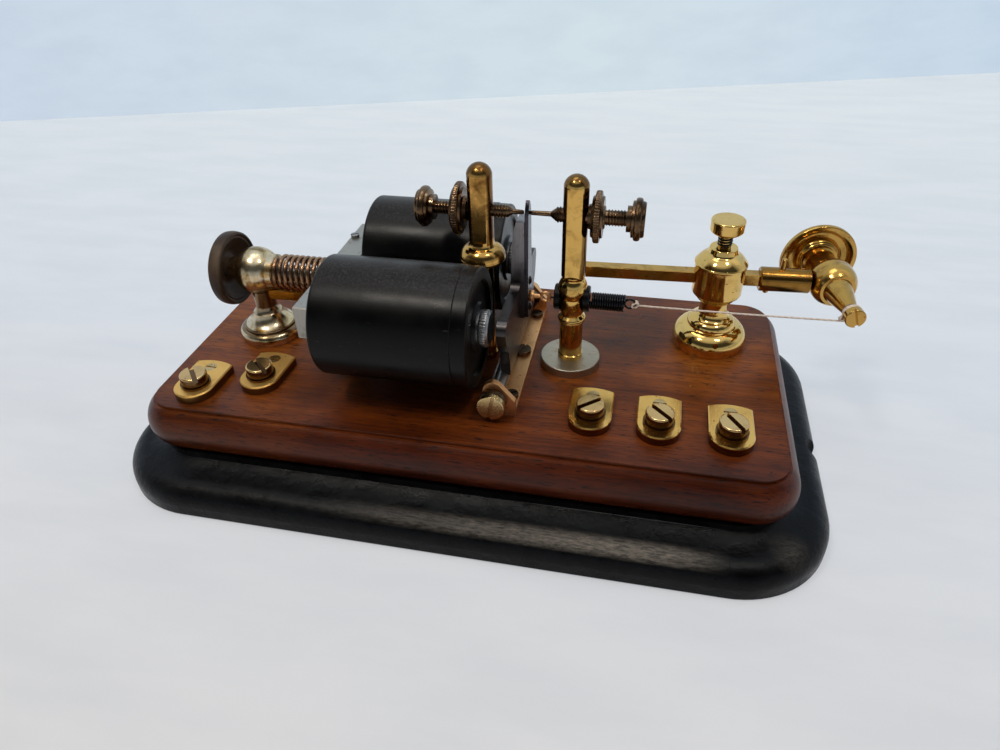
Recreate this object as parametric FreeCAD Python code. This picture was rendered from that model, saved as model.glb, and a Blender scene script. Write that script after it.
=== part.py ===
"""Telegraph sounder with a horizontal electromagnet, an upright armature between two contact
screws and a tension spring wound up by a peg. Millimetres; origin at the centre of the iron
base's underside, +X towards the winding peg, +Y to the back, +Z up."""
import FreeCAD, Part
import math
import os

V = FreeCAD.Vector
UP = V(0, 0, 1)
DOWN = V(0, 0, -1)
RIGHT = V(1, 0, 0)
LEFT = V(-1, 0, 0)
FRONT = V(0, -1, 0)
BACK = V(0, 1, 0)

# Base: a japanned iron casting that carries a bullnosed mahogany plinth.
BASE_LENGTH = 234.6
BASE_DEPTH = 127.8
BASE_HEIGHT = 16.0
BASE_CORNER = 31.0
BASE_WALL = 10.0
BASE_TOP_PLATE = 6.5
BASE_RIB = 5.0
NOTCH_Y = -4.0
NOTCH_RADIUS = 4.5
WOOD_LENGTH = 200.0
WOOD_DEPTH = 94.1
WOOD_THICKNESS = 16.0
WOOD_CORNER = 8.7
WOOD_BULGE = 4.5
WOOD_TOP = BASE_HEIGHT + WOOD_THICKNESS
PLINTH_SCREW_X = 84.0
PLINTH_SCREW_Y = 36.0

# Terminals: (x, y) of the clamping screw in each plate's round end.
TERMINAL_PLACES = [(-86.3, -37.3), (-67.0, -29.2), (42.3, -30.0), (62.9, -30.5), (84.0, -31.2)]
TERMINAL_TURNS = [-1.5, -1.5, 0.0, 0.0, 0.0]
TERMINAL_WIDTH = 13.2
TERMINAL_TAIL = 13.1
TERMINAL_CROWN = 1.5
FIXING_SCREW_INSET = 4.0
TERMINAL_NOSE = 0.8
TERMINAL_THICKNESS = 3.0
TERMINAL_HEAD_RADIUS = 4.3
TERMINAL_HEAD_HEIGHT = 3.4
TERMINAL_SLOT_TURNS = [131, 140, 40, 135, 124]
WASHER_THICKNESS = 0.7
SCREW_SHANK = 2.0

# Electromagnet: two coils side by side, their cores joined by a yoke at the left.
COIL_Y = 22.8
COIL_Z = WOOD_TOP + 25.5
COIL_RADIUS = 18.7
COIL_LEFT = -40.6
COIL_RIGHT = 7.3
CHEEK_THICKNESS = 4.6
CORE_RADIUS = 5.5
POLE_X = 10.6
YOKE_THICKNESS = 9.2
YOKE_HALF_LENGTH = 30.0
YOKE_HEIGHT = 11.4
YOKE_LEFT = COIL_LEFT - YOKE_THICKNESS
CARRIAGE_WIDTH = 16.0
CARRIAGE_THICKNESS = 2.5
CARRIAGE_RIGHT = 6.0

# Adjuster: a knob whose screw draws the yoke towards a post, against a coil spring.
ADJUSTER_X = -77.6
BALL_RADIUS = 8.2
ADJUSTER_SCREW_RADIUS = 2.4
KNOB_RADIUS = 12.7
KNOB_DISH = 2.1
SPRING_LEFT = ADJUSTER_X + 8.0
SPRING_RADIUS = 5.6
SPRING_WIRE = 0.7
SPRING_TURNS = 9
GUIDE_Z = WOOD_TOP + 17.0
GUIDE_SIZE = 3.8

# Armature: an iron plate on a trunnion axle, with a brass-bronze tongue between the contacts.
PIVOT_X = 12.8
PIVOT_Z = WOOD_TOP + 6.0
PLATE_LEFT = 13.0
PLATE_THICKNESS = 3.0
PLATE_RIGHT = PLATE_LEFT + PLATE_THICKNESS
PLATE_TOP = WOOD_TOP + 29.4
PLATE_HALF_LENGTH = 27.0
TONGUE_THICKNESS = 1.2
TONGUE_LEFT = 17.3
TONGUE_WIDTH = 6.4
TONGUE_TOP = WOOD_TOP + 57.2
LEVER_TOP = WOOD_TOP + 51.4
LEVER_HALF_WIDTH = 3.3
CONTACT_Z = WOOD_TOP + 53.3
CONTACT_GAP = 0.6
EAR_Y = 31.0
EAR_THICKNESS = 2.0
STRIP_LEFT = 9.6
STRIP_RIGHT = 19.4
STRIP_THICKNESS = 1.6
RUNNING = 0.05

# Contact posts and screws.
LEFT_POST_X = 3.3
RIGHT_POST_X = 32.3
POST_RADIUS = 3.8
RIGHT_POST_TOP = WOOD_TOP + 66.0
LEFT_POST_TOP = WOOD_TOP + 68.0
CONTACT_SCREW_RADIUS = 2.15
LEFT_SCREW_RADIUS = 1.8
STUD_RADIUS = 2.0
BUSH_RADIUS = 4.2
BUSH_NECK = 2.8
BUSH_BORE = 1.9
BUSH_Z = WOOD_TOP + 25.2
BOSS_OUTLINE = [(19.4, 3.5), (20.0, 3.7), (26.0, 4.4, 0.06), (32.2, 3.6, 0.12)]

# Tension arm: a square bar clamped in a post, with a winding peg at its end.
ARM_POST = V(78.4, 21.0, WOOD_TOP)
ARM_Z = WOOD_TOP + 25.5
ARM_SWING = 2.7
BAR_SIZE = 4.0
BAR_LEFT = -46.5
SLEEVE_START = 12.8
SLEEVE_END = 28.4
SLEEVE_RADIUS = 4.0
ELBOW_REACH = 35.7
ELBOW_RADIUS = 7.2
WINDER_TURN = 6.2
SPINDLE_RADIUS = 1.6
WINDING_KNOB_RADIUS = 12.5

# Tension spring and thread, from the armature to the winding peg.
PULL_Z = WOOD_TOP + 24.6
PULL_SPRING_START = RIGHT_POST_X + 6.6
PULL_SPRING_END = 49.0
PULL_SPRING_RADIUS = 2.85
THREAD_RADIUS = 0.3
THREAD_START_X = 52.7


def placed(shape, origin, direction=UP, roll=0.0):
    """The shape, made upright at the origin, rolled about its own axis and set along direction."""
    shape.rotate(V(0, 0, 0), UP, roll)
    turn = FreeCAD.Rotation(UP, direction)
    shape.rotate(V(0, 0, 0), turn.Axis, math.degrees(turn.Angle))
    shape.translate(origin)
    return shape


def turned(origin, direction, outline):
    """A solid of revolution. outline lists (along, radius) from end to end; a third value bows
    the stretch that leads to its point outwards, by that share of the stretch's length."""
    first, last = outline[0], outline[-1]
    corners = [(first[0], 0.0)] * (first[1] > 0) + list(outline) + [(last[0], 0.0)] * (last[1] > 0)
    edges = []
    for start, end in zip(corners, corners[1:]):
        p = V(start[1], 0, start[0])
        q = V(end[1], 0, end[0])
        if len(end) > 2:
            chord = q - p
            middle = (p + q) * 0.5 + V(chord.z, 0, -chord.x) * end[2]
            edges.append(Part.Arc(p, middle, q).toShape())
        else:
            edges.append(Part.makeLine(p, q))
    edges.append(Part.makeLine(V(0, 0, corners[-1][0]), V(0, 0, corners[0][0])))
    face = Part.Face(Part.Wire(edges))
    return placed(face.revolve(V(0, 0, 0), UP, 360), origin, direction)


def dome(start, end_along):
    """The last step of an outline: a spherical cap from start up to the axis."""
    rise = end_along - start[0]
    return (end_along, 0.0, math.copysign(0.5 * math.tan(0.5 * math.atan(abs(rise) / start[1])), rise))


def rod(start, end, radius):
    """A plain cylinder between two points."""
    return Part.makeCylinder(radius, (end - start).Length, start, end - start)


def block(low, high):
    """A box between two corners, each given as (x, y, z)."""
    size = [b - a for a, b in zip(low, high)]
    return Part.makeBox(size[0], size[1], size[2], V(*low))


def screw_head(radius, height, slot, roll):
    """A cheese head standing on the origin, with a rounded edge and a slot across its top."""
    edge = 0.16 * height
    head = turned(V(0, 0, 0), UP, [(0, radius), (height - edge, radius), (height, radius - edge, 0.2)])
    cutter = block((-radius - 1, -slot / 2, 0.55 * height), (radius + 1, slot / 2, height + 1))
    cutter.rotate(V(0, 0, 0), UP, roll)
    return head.cut(cutter)


def slotted_screw(head_radius, head_height, shank_radius, shank_length, slot=1.0, roll=30.0):
    """A slotted screw whose head stands on the origin and whose shank hangs below."""
    head = screw_head(head_radius, head_height, slot, roll)
    return head.fuse(rod(V(0, 0, -shank_length), V(0, 0, 0), shank_radius)).removeSplitter()


def moulded_slab(centre_x, centre_y, outline):
    """A slab with round corners: outline lists (height, reach from the corner's centre), and is
    turned at the four corners and carried straight along the sides between them."""
    corners = [turned(V(x, y, 0), UP, outline)
               for x in (-centre_x, centre_x) for y in (-centre_y, centre_y)]
    reach = max(step[1] for step in outline)
    sides = []
    for half, spans in ((centre_y, RIGHT), (centre_x, BACK)):
        length = 2 * (centre_x if spans == RIGHT else centre_y)
        for side in (-1, 1):
            section = side_section(outline, reach)
            along = section.extrude(V(length, 0, 0))
            along.translate(V(-length / 2, 0, 0))
            if spans == BACK:
                along.rotate(V(0, 0, 0), UP, 90)
                along.translate(V(side * half, 0, 0))
            else:
                along.translate(V(0, side * half, 0))
            sides.append(along)
    low, high = outline[0][0], outline[-1][0]
    core = block((-centre_x, -centre_y, low), (centre_x, centre_y, high))
    return core.multiFuse(corners + sides).removeSplitter()


def side_section(outline, reach):
    """The moulding's full section across the Y axis, the outline and its mirror image."""
    halves = []
    for sign in (1, -1):
        edges = []
        for start, end in zip(outline, outline[1:]):
            p = V(0, sign * start[1], start[0])
            q = V(0, sign * end[1], end[0])
            if len(end) > 2:
                rise, run = end[0] - start[0], end[1] - start[1]
                middle = (p + q) * 0.5 + V(0, sign * rise, -run) * end[2]
                edges.append(Part.Arc(p, middle, q).toShape())
            else:
                edges.append(Part.makeLine(p, q))
        halves.append(edges)
    low, high = outline[0], outline[-1]
    bottom = Part.makeLine(V(0, -low[1], low[0]), V(0, low[1], low[0]))
    top = Part.makeLine(V(0, high[1], high[0]), V(0, -high[1], high[0]))
    return Part.Face(Part.Wire(Part.sortEdges([bottom, top] + halves[0] + halves[1])[0]))


def iron_base():
    """Cast iron base: ogee moulding outside, ribbed hollow below, a notch for leads at the right."""
    centre_x = BASE_LENGTH / 2 - BASE_CORNER
    centre_y = BASE_DEPTH / 2 - BASE_CORNER
    ledge = BASE_CORNER - 13.9
    outline = [(0, BASE_CORNER - 1.0), (1.4, BASE_CORNER, 0.2), (4.6, BASE_CORNER),
               (11.4, BASE_CORNER - 6.6, 0.2), (13.2, ledge + 0.9, -0.06), (13.6, ledge),
               (BASE_HEIGHT, ledge)]
    shell = moulded_slab(centre_x, centre_y, outline)
    hollow_corner = BASE_CORNER - BASE_WALL
    depth = BASE_HEIGHT - BASE_TOP_PLATE
    hollow = moulded_slab(centre_x, centre_y, [(-1, hollow_corner), (depth, hollow_corner - 1.5)])
    long_rib = block((-BASE_LENGTH / 2 + 5, -BASE_RIB / 2, 0),
                     (BASE_LENGTH / 2 - 5, BASE_RIB / 2, depth + 1))
    cross_rib = block((-BASE_RIB / 2, -BASE_DEPTH / 2 + 5, 0),
                      (BASE_RIB / 2, BASE_DEPTH / 2 - 5, depth + 1))
    shell = shell.cut(hollow.cut(long_rib.fuse(cross_rib)))
    notch = V(BASE_LENGTH / 2, NOTCH_Y, 0)
    shell = shell.cut(rod(notch + V(0, 0, -1), notch + V(0, 0, BASE_HEIGHT + 1), NOTCH_RADIUS))
    for place in plinth_screw_places():
        shell = shell.cut(rod(place + V(0, 0, -1), place + V(0, 0, BASE_TOP_PLATE + 1), SCREW_SHANK))
    return shell.removeSplitter()


def plinth_screw_places():
    """The four screws that hold the wood, on the underside of the base's top plate."""
    depth = BASE_HEIGHT - BASE_TOP_PLATE
    return [V(x, y, depth)
            for x in (-PLINTH_SCREW_X, PLINTH_SCREW_X) for y in (-PLINTH_SCREW_Y, PLINTH_SCREW_Y)]


def nut_places():
    """Where the posts' studs end, at the wood's underside."""
    xy = [(ADJUSTER_X, 0), (LEFT_POST_X, 0), (RIGHT_POST_X, 0), (ARM_POST.x, ARM_POST.y)]
    return [V(x, y, BASE_HEIGHT) for x, y in xy]


def mahogany_plinth():
    """Wooden plinth: a raised top face with a sharp arris over a full bullnose."""
    centre_x = WOOD_LENGTH / 2 - WOOD_CORNER
    centre_y = WOOD_DEPTH / 2 - WOOD_CORNER
    bow = (WOOD_BULGE - 1.2) / (WOOD_THICKNESS - 1.1)
    outline = [(BASE_HEIGHT, WOOD_CORNER + 1.5), (WOOD_TOP - 1.1, WOOD_CORNER + 0.9, bow),
               (WOOD_TOP - 1.1, WOOD_CORNER), (WOOD_TOP, WOOD_CORNER)]
    wood = moulded_slab(centre_x, centre_y, outline)
    for place in plinth_screw_places():
        wood = wood.cut(rod(place, place + V(0, 0, BASE_TOP_PLATE + 9), SCREW_SHANK))
    for place in nut_places():
        wood = wood.cut(rod(place - V(0, 0, 1), place + V(0, 0, WOOD_THICKNESS + 1), STUD_RADIUS))
        wood = wood.cut(rod(place - V(0, 0, 1), place + V(0, 0, 4), 5.5))
    for index in range(len(TERMINAL_PLACES)):
        tail = TERMINAL_TAIL - FIXING_SCREW_INSET
        wood = wood.cut(terminal_placed(rod(V(0, 0, 1), V(0, 0, -8), SCREW_SHANK + 0.3), index))
        wood = wood.cut(terminal_placed(rod(V(0, tail, 1), V(0, tail, -8), 1.2), index))
    for place in bracket_screw_places() + carriage_screw_places():
        start = V(place.x, place.y, WOOD_TOP + 1)
        wood = wood.cut(rod(start, start - V(0, 0, 9), 1.2))
    return wood


def plinth_screws():
    """Wood screws up through the base's top plate."""
    return [placed(slotted_screw(4.2, 2.6, SCREW_SHANK, BASE_TOP_PLATE + 8, 1.1), place, DOWN)
            for place in plinth_screw_places()]


def hex_nut(across, height, bore):
    """A hexagon nut standing on the origin."""
    radius = across / math.sqrt(3)
    turns = [k * math.pi / 3 for k in range(6)]
    points = [V(radius * math.cos(turn), radius * math.sin(turn), 0) for turn in turns]
    nut = Part.Face(Part.makePolygon(points + points[:1])).extrude(V(0, 0, height))
    return nut.cut(rod(V(0, 0, -1), V(0, 0, height + 1), bore))


def post_nuts():
    """Nuts on the studs of the four posts, sunk in the wood's underside."""
    return [placed(hex_nut(7.5, 3.2, STUD_RADIUS), place + V(0, 0, 0.8)) for place in nut_places()]


def terminal_placed(shape, index):
    """Turns a terminal piece to its plate's direction and sets it on the wood."""
    x, y = TERMINAL_PLACES[index]
    shape.rotate(V(0, 0, 0), UP, TERMINAL_TURNS[index])
    shape.translate(V(x, y, WOOD_TOP))
    return shape


def terminal_plate(index):
    """A U-shaped plate: round at the front, a shallow arc with sharp corners at the back."""
    half = TERMINAL_WIDTH / 2
    back = TERMINAL_TAIL - TERMINAL_CROWN
    nose = -TERMINAL_NOSE
    outline = [Part.Arc(V(-half, nose, 0), V(0, nose - half, 0), V(half, nose, 0)).toShape(),
               Part.makeLine(V(half, nose, 0), V(half, back, 0)),
               Part.Arc(V(half, back, 0), V(0, TERMINAL_TAIL, 0), V(-half, back, 0)).toShape(),
               Part.makeLine(V(-half, back, 0), V(-half, nose, 0))]
    plate = Part.Face(Part.Wire(outline)).extrude(V(0, 0, TERMINAL_THICKNESS))
    plate = plate.makeChamfer(0.35, [e for e in plate.Edges if e.BoundBox.ZMin > TERMINAL_THICKNESS - 0.01])
    plate = plate.cut(rod(V(0, 0, -1), V(0, 0, 9), SCREW_SHANK + RUNNING))
    tail = V(0, TERMINAL_TAIL - FIXING_SCREW_INSET, 0)
    plate = plate.cut(rod(tail - V(0, 0, 1), tail + V(0, 0, 9), 1.2))
    plate = plate.cut(Part.makeCone(1.2, 2.1, 0.9, tail + V(0, 0, TERMINAL_THICKNESS - 0.9), UP))
    return terminal_placed(plate, index)


def terminal_fixing_screw(index):
    """The small flush screw in the back of a terminal plate."""
    seat = V(0, 0, TERMINAL_THICKNESS)
    screw = Part.makeCone(1.2, 2.1, 0.9, seat - V(0, 0, 0.9), UP)
    screw = screw.fuse(rod(V(0, 0, -7), seat - V(0, 0, 0.9), 1.2))
    screw = screw.cut(block((-3, -0.3, TERMINAL_THICKNESS - 0.6), (3, 0.3, TERMINAL_THICKNESS + 1)))
    screw = screw.removeSplitter()
    screw.translate(V(0, TERMINAL_TAIL - FIXING_SCREW_INSET, 0))
    return terminal_placed(screw, index)


def terminal_washer(index):
    """A loose washer under each clamping screw."""
    base = V(0, 0, TERMINAL_THICKNESS)
    washer = rod(base, base + V(0, 0, WASHER_THICKNESS), TERMINAL_HEAD_RADIUS + 0.5)
    return terminal_placed(washer.cut(rod(base - V(0, 0, 1), base + V(0, 0, 2), SCREW_SHANK + RUNNING)),
                           index)


def terminal_screw(index):
    """A clamping screw: slotted cheese head over the washer."""
    x, y = TERMINAL_PLACES[index]
    roll = TERMINAL_SLOT_TURNS[index]
    screw = slotted_screw(TERMINAL_HEAD_RADIUS, TERMINAL_HEAD_HEIGHT, SCREW_SHANK, 9.5, 1.5, roll)
    screw.translate(V(x, y, WOOD_TOP + TERMINAL_THICKNESS + WASHER_THICKNESS + RUNNING))
    return screw


def coil_axis(side, x):
    """A point on the front (-1) or back (1) coil's axis."""
    return V(x, side * COIL_Y, COIL_Z)


def coil_core(side):
    """Soft iron core, from the yoke through the coil to the pole face, with a tapped end."""
    core = turned(coil_axis(side, COIL_LEFT), RIGHT,
                  [(0, CORE_RADIUS), (POLE_X - COIL_LEFT - 0.5, CORE_RADIUS),
                   (POLE_X - COIL_LEFT, CORE_RADIUS - 0.5)])
    return core.cut(rod(coil_axis(side, COIL_LEFT - 1), coil_axis(side, COIL_LEFT + 10), SCREW_SHANK))


def bobbin(side):
    """Ebonite bobbin: a tube with a thin left cheek inside the sleeve and a full right cheek."""
    length = COIL_RIGHT - COIL_LEFT
    tube = CORE_RADIUS + 1.5
    inner = COIL_RADIUS - 1.8
    outline = [(0, inner), (3.0, inner), (3.0, tube), (length - CHEEK_THICKNESS, tube),
               (length - CHEEK_THICKNESS, COIL_RADIUS - 0.2), (length - 0.8, COIL_RADIUS - 0.2),
               (length, COIL_RADIUS - 1.0, 0.2), (length, COIL_RADIUS - 4.0),
               (length - 0.8, COIL_RADIUS - 4.6),
               (length - 0.8, CORE_RADIUS + 2.5), (length, CORE_RADIUS + 2.0)]
    spool = turned(coil_axis(side, COIL_LEFT), RIGHT, outline)
    return spool.cut(rod(coil_axis(side, COIL_LEFT - 1), coil_axis(side, COIL_RIGHT + 1), CORE_RADIUS))


def winding(side):
    """The wire, wound on the bobbin under the sleeve."""
    tube = CORE_RADIUS + 1.5
    start, end = coil_axis(side, COIL_LEFT + 3), coil_axis(side, COIL_RIGHT - CHEEK_THICKNESS)
    return rod(start, end, COIL_RADIUS - 2.2).cut(rod(start - V(1, 0, 0), end + V(1, 0, 0), tube))


def coil_sleeve(side):
    """Ebonite tube over the winding, its left edge eased, open at both ends."""
    length = COIL_RIGHT - CHEEK_THICKNESS - COIL_LEFT
    tube = turned(coil_axis(side, COIL_LEFT), RIGHT,
                  [(0, COIL_RADIUS - 1.0), (1.0, COIL_RADIUS, 0.2), (length - 0.3, COIL_RADIUS),
                   (length, COIL_RADIUS - 0.3)])
    return tube.cut(rod(coil_axis(side, COIL_LEFT - 1), coil_axis(side, COIL_RIGHT), COIL_RADIUS - 1.8))


def yoke_bar():
    """Rectangular iron bar across both cores, drilled for their screws and the adjuster."""
    half = YOKE_HEIGHT / 2
    bar = block((YOKE_LEFT, -YOKE_HALF_LENGTH, COIL_Z - half), (COIL_LEFT, YOKE_HALF_LENGTH, COIL_Z + half))
    bar = bar.makeChamfer(0.4, bar.Edges)
    for y in (-COIL_Y, COIL_Y):
        bar = bar.cut(rod(V(YOKE_LEFT - 1, y, COIL_Z), V(COIL_LEFT + 1, y, COIL_Z), SCREW_SHANK))
        bar = bar.cut(rod(V(YOKE_LEFT - 1, y, COIL_Z), V(YOKE_LEFT + 2.6, y, COIL_Z), 4.1))
    adjuster_hole = ADJUSTER_SCREW_RADIUS + RUNNING
    bar = bar.cut(rod(V(YOKE_LEFT - 1, 0, COIL_Z), V(COIL_LEFT + 1, 0, COIL_Z), adjuster_hole))
    return bar.cut(rod(yoke_pin_seat() - V(0, 0, 2), yoke_pin_seat() + V(0, 0, 2), 0.8))


def yoke_pin_seat():
    """The small screw near the back of the yoke's top face."""
    return V(YOKE_LEFT + 1.8, 19.0, COIL_Z + YOKE_HEIGHT / 2)


def yoke_screws():
    """Two screws that hold the cores to the yoke, and the small screw on its top."""
    seat = YOKE_LEFT + 2.6
    screws = [placed(slotted_screw(4.0, 2.5, SCREW_SHANK, YOKE_THICKNESS + 6, 1.1, 60),
                     V(seat, y, COIL_Z), LEFT)
              for y in (-COIL_Y, COIL_Y)]
    return screws + [placed(slotted_screw(1.5, 1.1, 0.8, 2.0, 0.5), yoke_pin_seat())]


def magnet_carriage():
    """Brass slide under the coils: a slotted foot on the wood and a web up to the yoke."""
    half = CARRIAGE_WIDTH / 2
    low = WOOD_TOP + 0.1
    foot = block((YOKE_LEFT - 4, -half, low), (CARRIAGE_RIGHT - 12, half, low + CARRIAGE_THICKNESS))
    web = block((YOKE_LEFT + 1.5, -half, low), (YOKE_LEFT + 6.0, half, COIL_Z - YOKE_HEIGHT / 2))
    carriage = foot.fuse(web).removeSplitter()
    for place in carriage_screw_places():
        reach = 3.2
        slot = block((place.x - reach, -1.6, low - 1), (place.x + reach, 1.6, low + 5))
        for end in (-reach, reach):
            slot = slot.fuse(rod(V(place.x + end, 0, low - 1), V(place.x + end, 0, low + 5), 1.6))
        carriage = carriage.cut(slot)
    return carriage


def carriage_screw_places():
    """Shoulder screws that guide the carriage along its slots."""
    return [V(x, 0, WOOD_TOP) for x in (-34.0, -13.0)]


def carriage_screws():
    """Shoulder screws: the head bridges the slot, the shoulder runs in it."""
    screws = []
    for place in carriage_screw_places():
        lift = CARRIAGE_THICKNESS + 0.25
        head = screw_head(3.2, 1.8, 0.9, 20)
        head.translate(V(0, 0, lift))
        screw = head.fuse([rod(V(0, 0, 0), V(0, 0, lift), 1.5), rod(V(0, 0, -7), V(0, 0, 0), 1.2)])
        screws.append(placed(screw.removeSplitter(), place))
    return screws


def guide_rod():
    """Square rod that keeps the yoke level, sliding in the post's neck."""
    half = GUIDE_SIZE / 2
    bar = block((ADJUSTER_X + 1.5, -half, GUIDE_Z - half), (YOKE_LEFT + 1.5, half, GUIDE_Z + half))
    eased = [e for e in bar.Edges if e.BoundBox.XLength > 5 or e.BoundBox.XMax < ADJUSTER_X + 5]
    return bar.makeChamfer(0.3, eased)


def adjuster_post():
    """Turned post: domed foot with a ring, waisted neck and a ball drilled for the screw."""
    ball = COIL_Z - WOOD_TOP
    outline = [(0, 10.9), (1.0, 11.1), (4.4, 9.4, 0.22), (4.4, 9.0), (5.2, 8.7, 0.3), (9.5, 5.0, -0.12),
               (12.0, 3.7, -0.1), (18.0, 3.7), (18.8, 4.6, -0.1), dome((18.8, 4.6), ball + BALL_RADIUS)]
    post = turned(V(ADJUSTER_X, 0, WOOD_TOP), UP, outline)
    stud = rod(V(ADJUSTER_X, 0, BASE_HEIGHT + 0.8), V(ADJUSTER_X, 0, WOOD_TOP), STUD_RADIUS)
    left = turned(V(ADJUSTER_X - 9.2, 0, COIL_Z), RIGHT, [(0, 4.0), (3.0, 4.8, -0.1)])
    right = turned(V(SPRING_LEFT - 3.4, 0, COIL_Z), RIGHT, [(0, 6.0), (3.0, 6.0), (3.4, 5.6)])
    post = post.fuse([stud, left, right])
    bore = rod(V(ADJUSTER_X - 20, 0, COIL_Z), V(ADJUSTER_X + 20, 0, COIL_Z),
               ADJUSTER_SCREW_RADIUS + RUNNING)
    post = post.cut(bore)
    half = GUIDE_SIZE / 2 + RUNNING
    hole = block((ADJUSTER_X - 2.2, -half, GUIDE_Z - half), (ADJUSTER_X + 12, half, GUIDE_Z + half))
    return post.cut(hole).removeSplitter()


def adjuster_knob():
    """Dark turned knob: dished face towards the post, broad rim, flat back with a small boss."""
    face = ADJUSTER_X - 9.3
    rim = KNOB_RADIUS
    lip = -KNOB_DISH
    outline = [(0, 3.6), (1.6, 3.9), (1.9, 5.0), (1.0, 7.4, -0.1), (lip + 0.5, rim - 2.1, -0.06),
               (lip, rim - 1.0, -0.2), (lip + 0.6, rim - 0.1, 0.25), (lip + 3.3, rim - 0.1, 0.06),
               (lip + 4.2, rim - 1.3, 0.25),
               (2.9, 5.4, 0.04), (3.3, 3.0, -0.1), (4.9, 2.5, 0.1), (5.4, 0.0)]
    knob = turned(V(face, 0, COIL_Z), LEFT, outline)
    return knob.cut(rod(V(face + 3, 0, COIL_Z), V(face - 3, 0, COIL_Z), ADJUSTER_SCREW_RADIUS))


def adjuster_screw():
    """The knob's screw, through the post and the spring into the yoke."""
    length = COIL_LEFT - 4.5 - (ADJUSTER_X - 12.3)
    radius = ADJUSTER_SCREW_RADIUS
    return turned(V(ADJUSTER_X - 12.3, 0, COIL_Z), RIGHT,
                  [(0, radius), (length - 1, radius), (length, radius - 0.9)])


def magnet_spring():
    """Round-wire compression spring between the post and the yoke."""
    length = YOKE_LEFT - SPRING_LEFT - 2 * SPRING_WIRE
    helix = Part.makeHelix(length / SPRING_TURNS, length, SPRING_RADIUS)
    ring = Part.Wire(Part.makeCircle(SPRING_WIRE, V(SPRING_RADIUS, 0, 0), V(0, 1, 0)))
    wire = Part.Wire(helix.Edges).makePipeShell([ring], True, True)
    return placed(wire, V(SPRING_LEFT + SPRING_WIRE, 0, COIL_Z), RIGHT)


def trunnion_bracket():
    """Brass strip screwed to the wood, both ends turned up as ears with a sloping shoulder."""
    ear_top = 12.2
    outline = [V(STRIP_LEFT, 0, 0), V(STRIP_LEFT, 0, 7.5), V(11.0, 0, ear_top - 0.6), V(12.6, 0, ear_top),
               V(14.4, 0, ear_top - 0.7), V(STRIP_RIGHT, 0, 5.6), V(STRIP_RIGHT, 0, 0)]
    edges = [Part.makeLine(outline[0], outline[1]), Part.Arc(outline[1], outline[2], outline[3]).toShape(),
             Part.makeLine(outline[3], outline[4]), Part.makeLine(outline[4], outline[5]),
             Part.makeLine(outline[5], outline[6]), Part.makeLine(outline[6], outline[0])]
    ear = Part.Face(Part.Wire(edges)).extrude(V(0, EAR_THICKNESS, 0))
    ears = []
    for y in (-EAR_Y - EAR_THICKNESS / 2, EAR_Y - EAR_THICKNESS / 2):
        copy = ear.copy()
        copy.translate(V(0, y, WOOD_TOP))
        ears.append(copy)
    reach = EAR_Y + EAR_THICKNESS / 2
    strip = block((STRIP_LEFT, -reach, WOOD_TOP), (STRIP_RIGHT, reach, WOOD_TOP + STRIP_THICKNESS))
    bracket = strip.fuse(ears).removeSplitter()
    bracket = bracket.cut(rod(V(PIVOT_X, -40, PIVOT_Z), V(PIVOT_X, 40, PIVOT_Z), 1.8))
    for place in bracket_screw_places():
        bracket = bracket.cut(rod(place - V(0, 0, 5), place + V(0, 0, 5), 1.2))
    return bracket


def bracket_screw_places():
    """Three screws along the strip."""
    return [V(x, y, WOOD_TOP + STRIP_THICKNESS) for x, y in ((17.0, -24.3), (16.0, 0.4), (17.0, 24.3))]


def bracket_screws():
    """Round-edged slotted screws that hold the bracket down; the middle one is larger."""
    return [placed(slotted_screw(radius, 1.5, 1.2, 7.0, 0.7, roll), place)
            for place, radius, roll in zip(bracket_screw_places(), (2.1, 2.9, 2.1), (30, 80, 30))]


def trunnion_screws():
    """Pointed pivot screws through the ears; only the front one's slotted head stands outside."""
    front = turned(V(PIVOT_X, -EAR_Y - 4.0, PIVOT_Z), BACK, [(0, 1.8), (8.0, 1.8), (9.8, 0.0)])
    head = placed(screw_head(4.3, 1.9, 1.2, 78), V(PIVOT_X, -EAR_Y - 4.0, PIVOT_Z), FRONT)
    back = turned(V(PIVOT_X, EAR_Y + 4.0, PIVOT_Z), FRONT, [(0, 1.8), (8.0, 1.8), (9.8, 0.0)])
    back_head = placed(screw_head(3.4, 1.8, 1.0, 20), V(PIVOT_X, EAR_Y + 3.0, PIVOT_Z), BACK)
    return [front.fuse(head).removeSplitter(), back.fuse(back_head).removeSplitter()]


def trunnion_locknuts():
    """Round lock nuts: outside the front ear, inside the back ear, there with a slotted face."""
    nuts = []
    for start, slot in ((-EAR_Y - 3.7, False), (EAR_Y - 3.4, True)):
        centre = V(PIVOT_X, start, PIVOT_Z)
        nut = turned(centre, BACK, [(0, 3.8), (0.4, 4.2), (2.0, 4.2), (2.4, 3.8)])
        nut = nut.cut(rod(centre - V(0, 5, 0), centre + V(0, 5, 0), 1.8))
        if slot:
            nut = nut.cut(block((PIVOT_X - 6, start - 1, PIVOT_Z - 0.6),
                                (PIVOT_X + 6, start + 1.0, PIVOT_Z + 0.6)))
        nuts.append(nut)
    return nuts


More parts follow.
